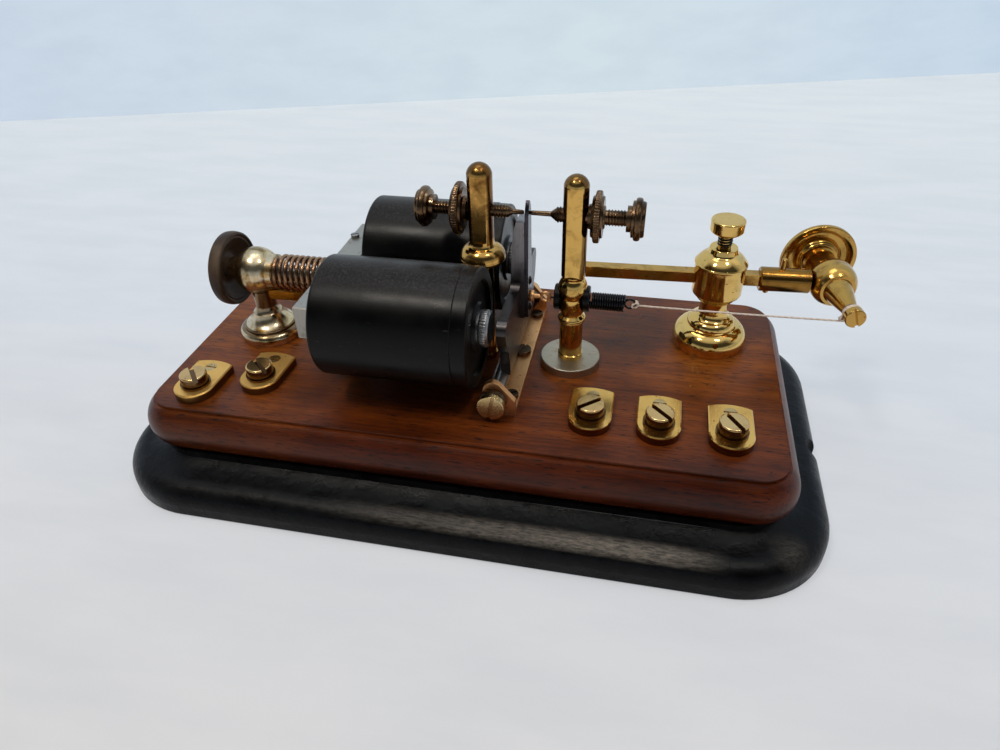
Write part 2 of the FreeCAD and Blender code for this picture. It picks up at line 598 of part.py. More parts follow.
def armature_plate():
    """Soft iron plate facing both poles, with rounded wings and a tapered lever rising from it."""
    half = PLATE_HALF_LENGTH
    top = PLATE_TOP - WOOD_TOP
    right_side = [(3.6, top + 1.6), (8.0, top, -0.2), (half - 3.6, top), (half, top - 3.6, 0.2),
                  (half - 1.0, 22.5), (half - 4.4, 17.0, 0.08), (half - 5.6, 12.0), (half - 6.0, 7.5),
                  (0.0, 7.5)]
    edges = []
    for sign in (1, -1):
        for start, end in zip(right_side, right_side[1:]):
            p = V(0, sign * start[0], start[1])
            q = V(0, sign * end[0], end[1])
            if len(end) > 2:
                middle = (p + q) * 0.5 + V(0, -sign * (end[1] - start[1]), end[0] - start[0]) * end[2]
                edges.append(Part.Arc(p, middle, q).toShape())
            else:
                edges.append(Part.makeLine(p, q))
    edges.append(Part.makeLine(V(0, 3.6, top + 1.6), V(0, -3.6, top + 1.6)))
    plate = Part.Face(Part.Wire(Part.sortEdges(edges)[0])).extrude(V(PLATE_THICKNESS, 0, 0))
    plate.translate(V(PLATE_LEFT, 0, WOOD_TOP))
    plate = plate.fuse(armature_lever()).removeSplitter()
    plate = plate.cut(rod(V(PIVOT_X, -40, PIVOT_Z), V(PIVOT_X, 40, PIVOT_Z), 2.6))
    plate = plate.cut(rod(V(PLATE_LEFT - 1, 0, PULL_Z), V(TONGUE_LEFT + 1, 0, PULL_Z), 1.0))
    for place in rivet_places():
        plate = plate.cut(rod(place - V(9, 0, 0), place + V(9, 0, 0), 0.9))
    return plate


def armature_lever():
    """The lever on the plate, straight on the right for the tongue and tapered on the left."""
    half = LEVER_HALF_WIDTH
    left = PLATE_LEFT
    side = [V(left, -half, PLATE_TOP - 11.6), V(left, -half, PLATE_TOP + 3.6),
            V(left + 0.5, -half, LEVER_TOP - 7.1),
            V(left + 1.1, -half, LEVER_TOP - 2.8), V(left + 1.8, -half, LEVER_TOP),
            V(TONGUE_LEFT, -half, LEVER_TOP),
            V(TONGUE_LEFT, -half, PLATE_TOP - 11.6)]
    return Part.Face(Part.makePolygon(side + side[:1])).extrude(V(0, 2 * half, 0))


def rivet_places():
    """Centres of the two rivets that join the tongue to the lever."""
    return [V(TONGUE_LEFT, 0, PLATE_TOP + 0.8 - drop) for drop in (0.0, 9.6)]


def armature_tongue():
    """Springy tongue: a strip riveted to the lever, rising past it to a pointed tip."""
    foot = TONGUE_WIDTH / 2
    outline = [V(0, -foot, PLATE_TOP - 11.1), V(0, foot, PLATE_TOP - 11.1), V(0, foot, PLATE_TOP + 6.0),
               V(0, 2.5, TONGUE_TOP - 5.0), V(0, 0.0, TONGUE_TOP), V(0, -2.5, TONGUE_TOP - 5.0),
               V(0, -foot, PLATE_TOP + 6.0)]
    edges = [Part.makeLine(a, b) for a, b in zip(outline[:3], outline[1:4])]
    edges.append(Part.Arc(outline[3], V(0, 1.5, TONGUE_TOP - 1.8), outline[4]).toShape())
    edges.append(Part.Arc(outline[4], V(0, -1.5, TONGUE_TOP - 1.8), outline[5]).toShape())
    edges += [Part.makeLine(outline[5], outline[6]), Part.makeLine(outline[6], outline[0])]
    tongue = Part.Face(Part.Wire(edges)).extrude(V(TONGUE_THICKNESS, 0, 0))
    tongue.translate(V(TONGUE_LEFT, 0, 0))
    tongue = tongue.cut(rod(V(TONGUE_LEFT - 1, 0, PULL_Z), V(TONGUE_LEFT + 9, 0, PULL_Z), 1.0))
    for place in rivet_places():
        tongue = tongue.cut(rod(place - V(9, 0, 0), place + V(9, 0, 0), 0.9))
    return tongue


def armature_rivets():
    """Rivets through the lever and the tongue's foot, with low domed heads."""
    face = TONGUE_LEFT + TONGUE_THICKNESS
    rivets = []
    for place in rivet_places():
        start = V(PLATE_LEFT, place.y, place.z)
        length = face - PLATE_LEFT
        rivets.append(turned(start, RIGHT, [(0, 0.9), (length, 0.9), (length, 1.5),
                                            dome((length, 1.5), length + 0.7)]))
    return rivets


def armature_axle():
    """Steel axle let into the plate, with centred ends for the pivot points."""
    reach = EAR_Y - EAR_THICKNESS / 2 - 3.0
    axle = rod(V(PIVOT_X, -reach, PIVOT_Z), V(PIVOT_X, reach, PIVOT_Z), 2.6)
    for side in (-1, 1):
        tip = V(PIVOT_X, side * (reach - 1.95), PIVOT_Z)
        axle = axle.cut(Part.makeCone(0.0, 3.3, 3.2, tip, V(0, side, 0)))
    return axle


def spring_hook():
    """Small hook screwed into the armature, with a wire eye for the spring."""
    stem = turned(V(PLATE_LEFT + 0.4, 0, PULL_Z), RIGHT,
                  [(0, 1.0), (5.2, 1.0), (5.2, 1.7), (6.4, 1.7, 0.1), (6.4, 0.8), (9.0, 0.6)])
    eye = Part.makeTorus(1.5, 0.5, V(PLATE_LEFT + 10.6, 0, PULL_Z), BACK)
    return stem.fuse(eye).removeSplitter()


def flat_on(post, x, front, low, high):
    """Files a flat on the front of a round post between two heights."""
    return post.cut(block((x - 6, -12, low), (x + 6, -front, high)))


def right_contact_post():
    """Insulated contact post: ringed foot, barrel boss for the bush, flat-fronted shaft."""
    x = RIGHT_POST_X
    outline = [(3.0, 4.1), (4.4, 4.1), (4.6, 3.8), (16.8, 3.8), (17.4, 4.3, 0.3), (18.6, 4.3, 0.2),
               *BOSS_OUTLINE,
               (33.4, POST_RADIUS, -0.1), (62.8, POST_RADIUS), dome((62.8, POST_RADIUS), 66.0)]
    post = turned(V(x, 0, WOOD_TOP), UP, outline)
    post = flat_on(post, x, POST_RADIUS - 0.75, WOOD_TOP + 33.6, WOOD_TOP + 62.4)
    post = post.fuse(rod(V(x, 0, BASE_HEIGHT + 0.8), V(x, 0, WOOD_TOP + 3.0), STUD_RADIUS))
    post = post.cut(rod(V(x - 9, 0, CONTACT_Z), V(x + 9, 0, CONTACT_Z), CONTACT_SCREW_RADIUS + RUNNING))
    return post.cut(rod(V(x - 9, 0, BUSH_Z), V(x + 9, 0, BUSH_Z), BUSH_NECK)).removeSplitter()


def right_post_foot():
    """Loose foot disc under the right post."""
    centre = V(RIGHT_POST_X, 0, WOOD_TOP)
    disc = turned(centre, UP, [(0, 10.0), (2.6, 10.0), (3.0, 9.6, 0.2)])
    return disc.cut(rod(centre - V(0, 0, 1), centre + V(0, 0, 9), STUD_RADIUS))


def left_contact_post():
    """Contact post that rises between the coils: slim column, domed collar, flat-fronted shaft."""
    x = LEFT_POST_X
    outline = [(0, 4.0), (1.5, 4.0), (2.2, 3.4), (36.6, 3.4), (36.8, 7.0), (38.0, 7.3, 0.2),
               (41.6, 4.4, 0.16),
               (42.6, 3.9, -0.1), (64.8, 3.9), dome((64.8, 3.9), 68.0)]
    post = turned(V(x, 0, WOOD_TOP), UP, outline)
    post = flat_on(post, x, 3.2, WOOD_TOP + 43.6, WOOD_TOP + 64.0)
    post = post.fuse(rod(V(x, 0, BASE_HEIGHT + 0.8), V(x, 0, WOOD_TOP), STUD_RADIUS))
    bore = rod(V(x - 9, 0, CONTACT_Z), V(x + 9, 0, CONTACT_Z), LEFT_SCREW_RADIUS + RUNNING)
    return post.cut(bore).removeSplitter()


def spring_bush():
    """Ebonite bush through the right post: a neck in the boss and a flange on each side."""
    bush = turned(V(RIGHT_POST_X - 5.6, 0, BUSH_Z), RIGHT,
                  [(0, BUSH_RADIUS - 0.3), (0.3, BUSH_RADIUS), (1.8, BUSH_RADIUS), (1.8, BUSH_NECK),
                   (9.4, BUSH_NECK),
                   (9.4, BUSH_RADIUS), (10.9, BUSH_RADIUS), (11.2, BUSH_RADIUS - 0.3)])
    boss = turned(V(RIGHT_POST_X, 0, WOOD_TOP), UP, BOSS_OUTLINE)
    boss = boss.cut(rod(V(RIGHT_POST_X - 9, 0, BUSH_Z), V(RIGHT_POST_X + 9, 0, BUSH_Z), BUSH_NECK))
    bore = rod(V(RIGHT_POST_X - 9, 0, BUSH_Z), V(RIGHT_POST_X + 9, 0, BUSH_Z), BUSH_BORE)
    return bush.cut(boss).cut(bore)


def contact_head(radius, length):
    """Outline of a milled screw head with a collar towards the shaft, as (along, radius)."""
    return [(0, 0.62 * radius), (0.22 * length, 0.62 * radius), (0.28 * length, 0.86 * radius),
            (0.42 * length, 0.88 * radius), (0.48 * length, radius, 0.2), (0.72 * length, radius, 0.1),
            (0.80 * length, 0.86 * radius, 0.2), (length, 0.80 * radius, 0.1),
            (0.96 * length, 0.3 * radius)]


def left_contact_screw():
    """Contact screw from the left: milled head, threaded shaft, fine platinum tip."""
    tip = TONGUE_LEFT - CONTACT_GAP
    shaft = turned(V(-11.6, 0, CONTACT_Z), RIGHT,
                   [(0, LEFT_SCREW_RADIUS), (12.0 + 11.6, LEFT_SCREW_RADIUS), (13.4 + 11.6, 0.8),
                    (tip + 11.0, 0.7), (tip + 11.6, 0.5)])
    head = turned(V(-11.0, 0, CONTACT_Z), LEFT, contact_head(6.1, 5.4))
    return shaft.fuse(head).removeSplitter()


def right_contact_screw():
    """Contact screw from the right: a cone and a fine tip against the tongue."""
    start = TONGUE_LEFT + TONGUE_THICKNESS + 0.02
    shaft = turned(V(start, 0, CONTACT_Z), RIGHT,
                   [(0, 0.5), (0.6, 0.7), (6.4, 0.8), (7.6, 1.7), (9.8, CONTACT_SCREW_RADIUS),
                    (48.0 - start, CONTACT_SCREW_RADIUS)])
    head = turned(V(47.4, 0, CONTACT_Z), RIGHT, contact_head(6.2, 5.3))
    return shaft.fuse(head).removeSplitter()


def locknut(face_x, direction, radius, shank):
    """Milled lock nut: a hub against the post, side discs and a round rim."""
    outline = [(0, 3.6), (1.0, 3.9), (1.0, 0.78 * radius), (1.6, 0.82 * radius), (1.7, 0.9 * radius),
               (3.7, 0.9 * radius, 0.32), (3.8, 0.82 * radius), (4.4, 0.78 * radius), (4.4, 3.6),
               (4.9, 3.2)]
    nut = turned(V(face_x, 0, CONTACT_Z), direction, outline)
    return nut.cut(rod(V(face_x - 9, 0, CONTACT_Z), V(face_x + 9, 0, CONTACT_Z), shank + RUNNING))


def left_locknut():
    """Lock nut against the left post."""
    return locknut(LEFT_POST_X - 4.0, LEFT, 8.1, LEFT_SCREW_RADIUS)


def right_locknut():
    """Lock nut against the right post."""
    return locknut(RIGHT_POST_X + POST_RADIUS + 0.1, RIGHT, 7.7, CONTACT_SCREW_RADIUS)


def on_arm(shape):
    """Swings a shape made along +X through the post's axis into the arm's line."""
    shape.rotate(V(ARM_POST.x, ARM_POST.y, 0), UP, ARM_SWING)
    return shape


def arm_point(along, across=0.0, height=0.0):
    """A point in the arm's own line, before it is swung."""
    return V(ARM_POST.x + along, ARM_POST.y + across, ARM_Z + height)


def tension_post():
    """Turned post: stepped domed foot, neck, drum body with a square hole, collar and top ring."""
    outline = [(0, 12.2), (1.2, 12.4), (7.6, 8.5, 0.2), (7.8, 8.1), (10.4, 6.2, 0.16), (13.0, 4.7, -0.14),
               (16.6, 4.6, -0.04), (19.0, 6.8, 0.12), (20.2, 8.1, 0.12), (30.2, 8.25), (30.4, 8.45),
               (31.2, 8.3, 0.2),
               (34.0, 5.6, 0.06), (34.8, 4.8, -0.1), (36.0, 4.5), (36.4, 4.1, 0.2)]
    post = turned(ARM_POST, UP, outline)
    peephole = ARM_POST + V(1.6, 0, 5.2)
    post = post.cut(rod(peephole + V(0, -14, 0), peephole + V(0, -8, 0), 0.8))
    post = post.fuse(rod(V(ARM_POST.x, ARM_POST.y, BASE_HEIGHT + 0.8), ARM_POST, STUD_RADIUS))
    post = post.cut(rod(ARM_POST + V(0, 0, ARM_Z - WOOD_TOP), ARM_POST + V(0, 0, 45),
                        SCREW_SHANK + RUNNING))
    half = BAR_SIZE / 2 + RUNNING
    low, high = arm_point(-12, -half, -half), arm_point(12, half, half)
    return post.cut(on_arm(block(tuple(low), tuple(high)))).removeSplitter()


def clamp_screw():
    """Thumb screw that clamps the bar: milled flat head on a threaded shank."""
    low = ARM_Z + BAR_SIZE / 2 + RUNNING
    neck = WOOD_TOP + 41.3
    outline = [(low, 1.4), (low + 1.0, SCREW_SHANK), (neck, SCREW_SHANK), (neck, 4.0),
               (neck + 1.0, 5.3, 0.15),
               (neck + 4.0, 5.4), (neck + 4.6, 4.9, 0.2)]
    return turned(V(ARM_POST.x, ARM_POST.y, 0), UP, outline)


def tension_bar():
    """Square brass bar through the post, turned round where it enters the sleeve."""
    half = BAR_SIZE / 2
    bar = block(tuple(arm_point(BAR_LEFT, -half, -half)), tuple(arm_point(SLEEVE_START + 1.0, half, half)))
    bar = bar.makeChamfer(0.25, bar.Edges)
    spigot = rod(arm_point(SLEEVE_START, 0, 0), arm_point(ELBOW_REACH - 4.0, 0, 0), half - 0.4)
    return on_arm(bar.fuse(spigot).removeSplitter())


def winder_sleeve():
    """Brass sleeve over the bar's end, between the post and the elbow."""
    sleeve = turned(arm_point(SLEEVE_START), RIGHT,
                    [(0, SLEEVE_RADIUS - 0.4), (0.4, SLEEVE_RADIUS),
                     (SLEEVE_END - SLEEVE_START, SLEEVE_RADIUS)])
    half = BAR_SIZE / 2
    pocket = block(tuple(arm_point(SLEEVE_START - 1, -half, -half)),
                   tuple(arm_point(SLEEVE_START + 1, half, half)))
    bore = rod(arm_point(SLEEVE_START - 1), arm_point(ELBOW_REACH), half - 0.4)
    sleeve = sleeve.cut(pocket).cut(bore)
    for along, side in ((19.6, 1), (15.6, -1)):
        sleeve = sleeve.cut(rod(arm_point(along), arm_point(along, 0, side * 9), 0.9))
    return on_arm(sleeve)


def sleeve_pins():
    """The upright pin on top of the sleeve and the grub screw below its left end."""
    seat = BAR_SIZE / 2 - 0.3
    pin = turned(arm_point(19.6, 0, seat), UP, [(0, 0.9), (5.4, 0.9), (5.9, 0.5, 0.2)])
    grub = turned(arm_point(15.6, 0, -seat), DOWN, [(0, 0.9), (3.0, 0.9), (3.3, 0.6)])
    return [on_arm(pin), on_arm(grub)]


def winder_point(along):
    """A point on the winding axis: zero at the elbow's centre, positive towards the front."""
    angle = math.radians(ARM_SWING)
    reach = V(math.cos(angle), math.sin(angle), 0) * ELBOW_REACH
    return V(ARM_POST.x, ARM_POST.y, ARM_Z) + reach + winder_axis() * along


def winder_axis():
    """Unit vector along the winding axis, towards the front."""
    turn = math.radians(ARM_SWING + WINDER_TURN)
    return V(math.sin(turn), -math.cos(turn), 0)


def winder_elbow():
    """Elbow casting: a ball on the sleeve, a neck to the knob and a tapered snout to the drum."""
    radius = ELBOW_RADIUS
    outline = [(-14.4, 5.2), (-14.0, 5.7), (-13.2, 5.7), (-13.0, 5.0), (-6.8, 4.8, -0.04),
               (0.0, radius, 0.12),
               (5.6, 5.4, 0.1), (5.8, 4.5), (6.6, 4.3), (17.2, 2.2)]
    elbow = turned(winder_point(0), winder_axis(), outline)
    elbow = elbow.cut(rod(winder_point(-22), winder_point(22), SPINDLE_RADIUS + RUNNING))
    seat = rod(arm_point(SLEEVE_END - 9), arm_point(SLEEVE_END), SLEEVE_RADIUS)
    socket = rod(arm_point(SLEEVE_END), arm_point(ELBOW_REACH - 4.0), BAR_SIZE / 2 - 0.4)
    return elbow.cut(on_arm(seat)).cut(on_arm(socket))


def winding_knob():
    """Dished disc knob: thin rim, hollow face with a raised ring, turned flange at the back."""
    radius = WINDING_KNOB_RADIUS
    outline = [(14.8, 5.0), (15.2, 6.4, 0.2), (16.6, 7.4, 0.1), (16.4, 9.6, 0.1), (14.9, radius - 0.9, 0.1),
               (14.8, radius - 0.3), (15.6, radius, 0.2), (17.0, radius - 0.2, 0.1),
               (18.4, radius - 1.6, 0.1),
               (19.2, 4.0), (20.4, 3.0, 0.2), (20.6, 0.0)]
    knob = turned(winder_point(0), winder_axis() * -1, outline)
    return knob.cut(rod(winder_point(-20.0), winder_point(0), SPINDLE_RADIUS))


def winding_spindle():
    """Steel spindle through the elbow, with the thread's drum in front of the snout."""
    return turned(winder_point(0), winder_axis(),
                  [(-20.0, SPINDLE_RADIUS), (17.3, SPINDLE_RADIUS), (17.3, 2.4), (17.6, 2.5),
                   (17.9, 2.0), (19.9, 2.0)])


def winding_screw():
    """Slotted screw head that closes the drum."""
    return placed(screw_head(3.1, 2.5, 1.1, 118), winder_point(19.9), winder_axis())


def tension_spring():
    """Closed-coil tension spring with a wire to the armature and a loop to the thread."""
    outline = [(0, PULL_SPRING_RADIUS - 0.4)]
    length = PULL_SPRING_END - PULL_SPRING_START
    coils = 9
    for k in range(coils):
        outline.append(((k + 0.5) * length / coils, PULL_SPRING_RADIUS, 0.1))
        outline.append(((k + 1.0) * length / coils, PULL_SPRING_RADIUS - 0.4, 0.1))
    body = turned(V(PULL_SPRING_START, 0, PULL_Z), RIGHT, outline)
    wire = rod(V(PLATE_LEFT + 12.6, 0, PULL_Z), V(PULL_SPRING_START, 0, PULL_Z), 0.4)
    loop = Part.makeTorus(1.5, 0.4, V(PULL_SPRING_END + 1.7, 0, PULL_Z), BACK)
    return body.fuse([wire, loop]).removeSplitter()


def tension_thread():
    """Taut thread from the spring's loop to the underside of the winding drum."""
    end = winder_point(18.8)
    return rod(V(THREAD_START_X, 0, PULL_Z - 0.4), V(end.x - 1.4, end.y, ARM_Z - 3.0), THREAD_RADIUS)


def save(name, shape):
    """Writes one sub-part; several pieces go out as one group of solids."""
    pieces = shape if isinstance(shape, list) else [shape]
    solids = [solid for piece in pieces for solid in piece.Solids]
    whole = solids[0] if len(solids) == 1 else Part.makeCompound(solids)
    faulty = [solid for solid in solids if not solid.isValid()]
    print(f"{name:24s} solids {len(solids):2d}  volume {sum(s.Volume for s in solids):10.1f}",
          "INVALID" * bool(faulty))
    whole.exportStep(f"parts/{name}.step")


def main():
    os.makedirs("parts", exist_ok=True)
    for side, word in ((-1, "front"), (1, "back")):
        save(f"core_{word}", coil_core(side))
        save(f"bobbin_{word}", bobbin(side))
        save(f"winding_{word}", winding(side))
        save(f"coil_sleeve_{word}", coil_sleeve(side))
    terminals = range(len(TERMINAL_PLACES))
    save("terminal_plates", [terminal_plate(index) for index in terminals])
    save("terminal_fixing_screws", [terminal_fixing_screw(index) for index in terminals])
    save("terminal_washers", [terminal_washer(index) for index in terminals])
    for index in terminals:
        save(f"terminal_screw_{index + 1}", terminal_screw(index))
    for make in (iron_base, mahogany_plinth, plinth_screws, post_nuts, yoke_bar, yoke_screws,
                 magnet_carriage,
                 carriage_screws, guide_rod, adjuster_post, adjuster_knob, adjuster_screw, magnet_spring,
                 trunnion_bracket, bracket_screws, trunnion_screws, trunnion_locknuts, armature_plate,
                 armature_tongue, armature_rivets, armature_axle, spring_hook, right_contact_post,
                 right_post_foot, left_contact_post, spring_bush, left_contact_screw, right_contact_screw,
                 left_locknut, right_locknut, tension_post, clamp_screw, tension_bar, winder_sleeve,
                 sleeve_pins, winder_elbow, winding_knob, winding_spindle, winding_screw, tension_spring,
                 tension_thread):
        save(make.__name__, make())


main()
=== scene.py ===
import math
import bpy
import numpy as np
from mathutils import Matrix


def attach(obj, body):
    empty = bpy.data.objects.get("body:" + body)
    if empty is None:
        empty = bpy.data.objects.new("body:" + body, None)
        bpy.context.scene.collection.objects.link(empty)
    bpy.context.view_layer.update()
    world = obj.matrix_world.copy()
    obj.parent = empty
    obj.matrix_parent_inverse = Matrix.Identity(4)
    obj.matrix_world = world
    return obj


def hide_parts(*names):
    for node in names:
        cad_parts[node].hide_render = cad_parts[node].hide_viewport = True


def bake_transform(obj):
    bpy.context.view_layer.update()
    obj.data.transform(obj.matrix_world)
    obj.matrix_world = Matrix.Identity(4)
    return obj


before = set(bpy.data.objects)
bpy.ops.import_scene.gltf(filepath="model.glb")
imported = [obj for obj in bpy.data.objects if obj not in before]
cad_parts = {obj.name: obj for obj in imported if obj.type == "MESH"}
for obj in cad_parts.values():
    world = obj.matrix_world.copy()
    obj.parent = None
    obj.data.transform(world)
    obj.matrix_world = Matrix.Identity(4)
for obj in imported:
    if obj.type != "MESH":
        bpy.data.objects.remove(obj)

TAU = 2 * math.pi

# Places that the solids keep, in millimetres: the magnet's axis, its coils, the contacts, the
# spring's pull and the yoke.
COIL_Z = 57.5
COIL_Y = 22.8
CONTACT_Z = 85.3
PULL_Z = 56.6
YOKE_LEFT = -49.8
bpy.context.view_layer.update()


def linear(colour):
    """An sRGB hex colour as linear RGBA."""
    parts = [int(colour[k:k + 2], 16) / 255 for k in (1, 3, 5)]
    return [p / 12.92 if p <= 0.04045 else ((p + 0.055) / 1.055) ** 2.4 for p in parts] + [1.0]


def per_mm(size):
    """Texture scale whose features are about size millimetres apart on metre coordinates."""
    return 1000.0 / size


def add(tree, kind, inputs=None, ramp=None, **settings):
    """Adds one node: settings are its properties, ramp its colour stops as (place, colour or
    grey), and inputs maps a socket's name or number to a value, a node or another socket."""
    made = tree.nodes.new(kind)
    for key, value in settings.items():
        setattr(made, key, value)
    if ramp:
        stops = made.color_ramp.elements
        stops[0].position, stops[-1].position = ramp[0][0], ramp[-1][0]
        for place, colour in ramp[1:-1]:
            stops.new(place)
        for stop, (place, colour) in zip(stops, ramp):
            stop.color = linear(colour) if isinstance(colour, str) else [colour] * 3 + [1.0]
    for key, value in (inputs or {}).items():
        if isinstance(value, bpy.types.Node):
            value = value.outputs[0]
        if isinstance(value, bpy.types.NodeSocket):
            tree.links.new(value, made.inputs[key])
        else:
            made.inputs[key].default_value = value
    return made


def new_finish(name):
    """An empty material with its tree and the Object coordinates that its patterns read."""
    material = bpy.data.materials.new(name)
    material.use_nodes = True
    tree = material.node_tree
    tree.nodes.clear()
    return material, tree, add(tree, "ShaderNodeTexCoord").outputs["Object"]


def close_finish(material, tree, **inputs):
    """Puts the surface shader and the output at the end of a finish."""
    named = {key.replace("_", " "): value for key, value in inputs.items()}
    shader = add(tree, "ShaderNodeBsdfPrincipled", named)
    add(tree, "ShaderNodeOutputMaterial", {"Surface": shader})
    return material


def japanned_iron():
    """Japanned cast iron: black asphalt varnish stoved on a rough casting. The eye sees deep
    black with soft lights broken by the casting's grain, a painted sheen band along the front
    shoulder, a faint bare patch on the right front corner and small chips down to the metal."""
    material, tree, place = new_finish("japanned_cast_iron")
    grain = add(tree, "ShaderNodeTexNoise",
                {"Vector": place, "Scale": per_mm(0.9), "Detail": 5.0, "Roughness": 0.68})
    lumps = add(tree, "ShaderNodeTexNoise", {"Vector": place, "Scale": per_mm(8.0), "Detail": 3.0})
    haze = add(tree, "ShaderNodeValToRGB", {"Fac": lumps},
               ramp=[(0.35, "#060607"), (0.62, "#0d0d0e"), (0.8, "#181817")])
    where = add(tree, "ShaderNodeSeparateXYZ", {0: place})
    # The painted sheen band's lower and upper edge, its face, and its run and end along the base.
    low = add(tree, "ShaderNodeMapRange",
              {"Value": where.outputs["Z"], "From Min": 0.0086, "From Max": 0.0100})
    high = add(tree, "ShaderNodeMapRange",
               {"Value": where.outputs["Z"], "From Min": 0.0117, "From Max": 0.0112})
    front = add(tree, "ShaderNodeMapRange",
                {"Value": where.outputs["Y"], "From Min": -0.0558, "From Max": -0.0576})
    run = add(tree, "ShaderNodeMapRange",
              {"Value": where.outputs["X"], "From Min": -0.04, "From Max": 0.045, "To Min": 0.03,
               "To Max": 1.0})
    stop = add(tree, "ShaderNodeMapRange",
               {"Value": where.outputs["X"], "From Min": 0.086, "From Max": 0.070})
    sheen_and_scuff = low
    for share in (high, front, run, stop):
        sheen_and_scuff = add(tree, "ShaderNodeMath", {0: sheen_and_scuff, 1: share}, operation="MULTIPLY")
    corner = add(tree, "ShaderNodeVectorMath", {0: place, 1: (0.1030, -0.0525, 0.0112)},
                 operation="DISTANCE")
    corner = add(tree, "ShaderNodeMapRange",
                 {"Value": corner.outputs["Value"], "From Min": 0.0070, "From Max": 0.0020,
                  "To Max": 0.25})
    sheen_and_scuff = add(tree, "ShaderNodeMath", {0: sheen_and_scuff, 1: corner}, operation="MAXIMUM")
    # The sheen band, a painted highlight, and the corner's scuff break into pitted streaks drawn
    # out along the base, coarser than the real pitting so that they show.
    drawn = add(tree, "ShaderNodeMapping", {"Vector": place, "Scale": (0.22, 1.0, 1.0)})
    pitted_streaks = add(tree, "ShaderNodeTexNoise",
               {"Vector": drawn, "Scale": per_mm(0.7), "Detail": 6.0, "Roughness": 0.75})
    pitted_streaks = add(tree, "ShaderNodeValToRGB", {"Fac": pitted_streaks}, ramp=[(0.36, 0.15), (0.66, 1.0)])
    streaked_sheen_and_scuff = add(tree, "ShaderNodeMath", {0: pitted_streaks, 1: sheen_and_scuff}, operation="MULTIPLY")
    colour = add(tree, "ShaderNodeMix", {"Factor": streaked_sheen_and_scuff, "A": haze, "B": linear("#857b6f")},
                 data_type="RGBA")
    # A thin pale line where the shoulder meets the upright step: a painted edge highlight on a little
    # edge wear.
    edge = add(tree, "ShaderNodeMath", {0: where.outputs["Z"], 1: 0.01375, 2: 0.00014},
               operation="COMPARE")
    wall = add(tree, "ShaderNodeMapRange",
               {"Value": where.outputs["Y"], "From Min": -0.0495, "From Max": -0.0500})
    reach = add(tree, "ShaderNodeMapRange",
                {"Value": where.outputs["X"], "From Min": 0.02, "From Max": 0.04, "To Max": 0.5})
    for share in (wall, reach, stop):
        edge = add(tree, "ShaderNodeMath", {0: edge, 1: share}, operation="MULTIPLY")
    colour = add(tree, "ShaderNodeMix",
                 {"Factor": edge, "A": colour.outputs["Result"], "B": linear("#8d8a86")},
                 data_type="RGBA")
    flecks = add(tree, "ShaderNodeTexVoronoi",
                 {"Vector": place, "Scale": per_mm(16.0), "Randomness": 1.0})
    flecks = add(tree, "ShaderNodeValToRGB", {"Fac": flecks.outputs["Distance"]},
                 ramp=[(0.028, 0.9), (0.045, 0.0)])
    colour = add(tree, "ShaderNodeMix",
                 {"Factor": flecks, "A": colour.outputs["Result"], "B": linear("#8f8b84")},
                 data_type="RGBA")
    sheen = add(tree, "ShaderNodeMapRange", {"Value": lumps, "From Min": 0.3, "From Max": 0.7,
                                             "To Min": 0.20, "To Max": 0.38})
    rough = add(tree, "ShaderNodeMath", {0: streaked_sheen_and_scuff, 1: 0.4, 2: sheen}, operation="MULTIPLY_ADD")
    fine = add(tree, "ShaderNodeBump", {"Height": grain, "Strength": 0.30, "Distance": 0.0004})
    cast = add(tree, "ShaderNodeBump",
               {"Height": lumps, "Strength": 0.45, "Distance": 0.0010, "Normal": fine})
    return close_finish(material, tree, Base_Color=colour.outputs["Result"], Roughness=rough, Normal=cast,
                        IOR=1.22)


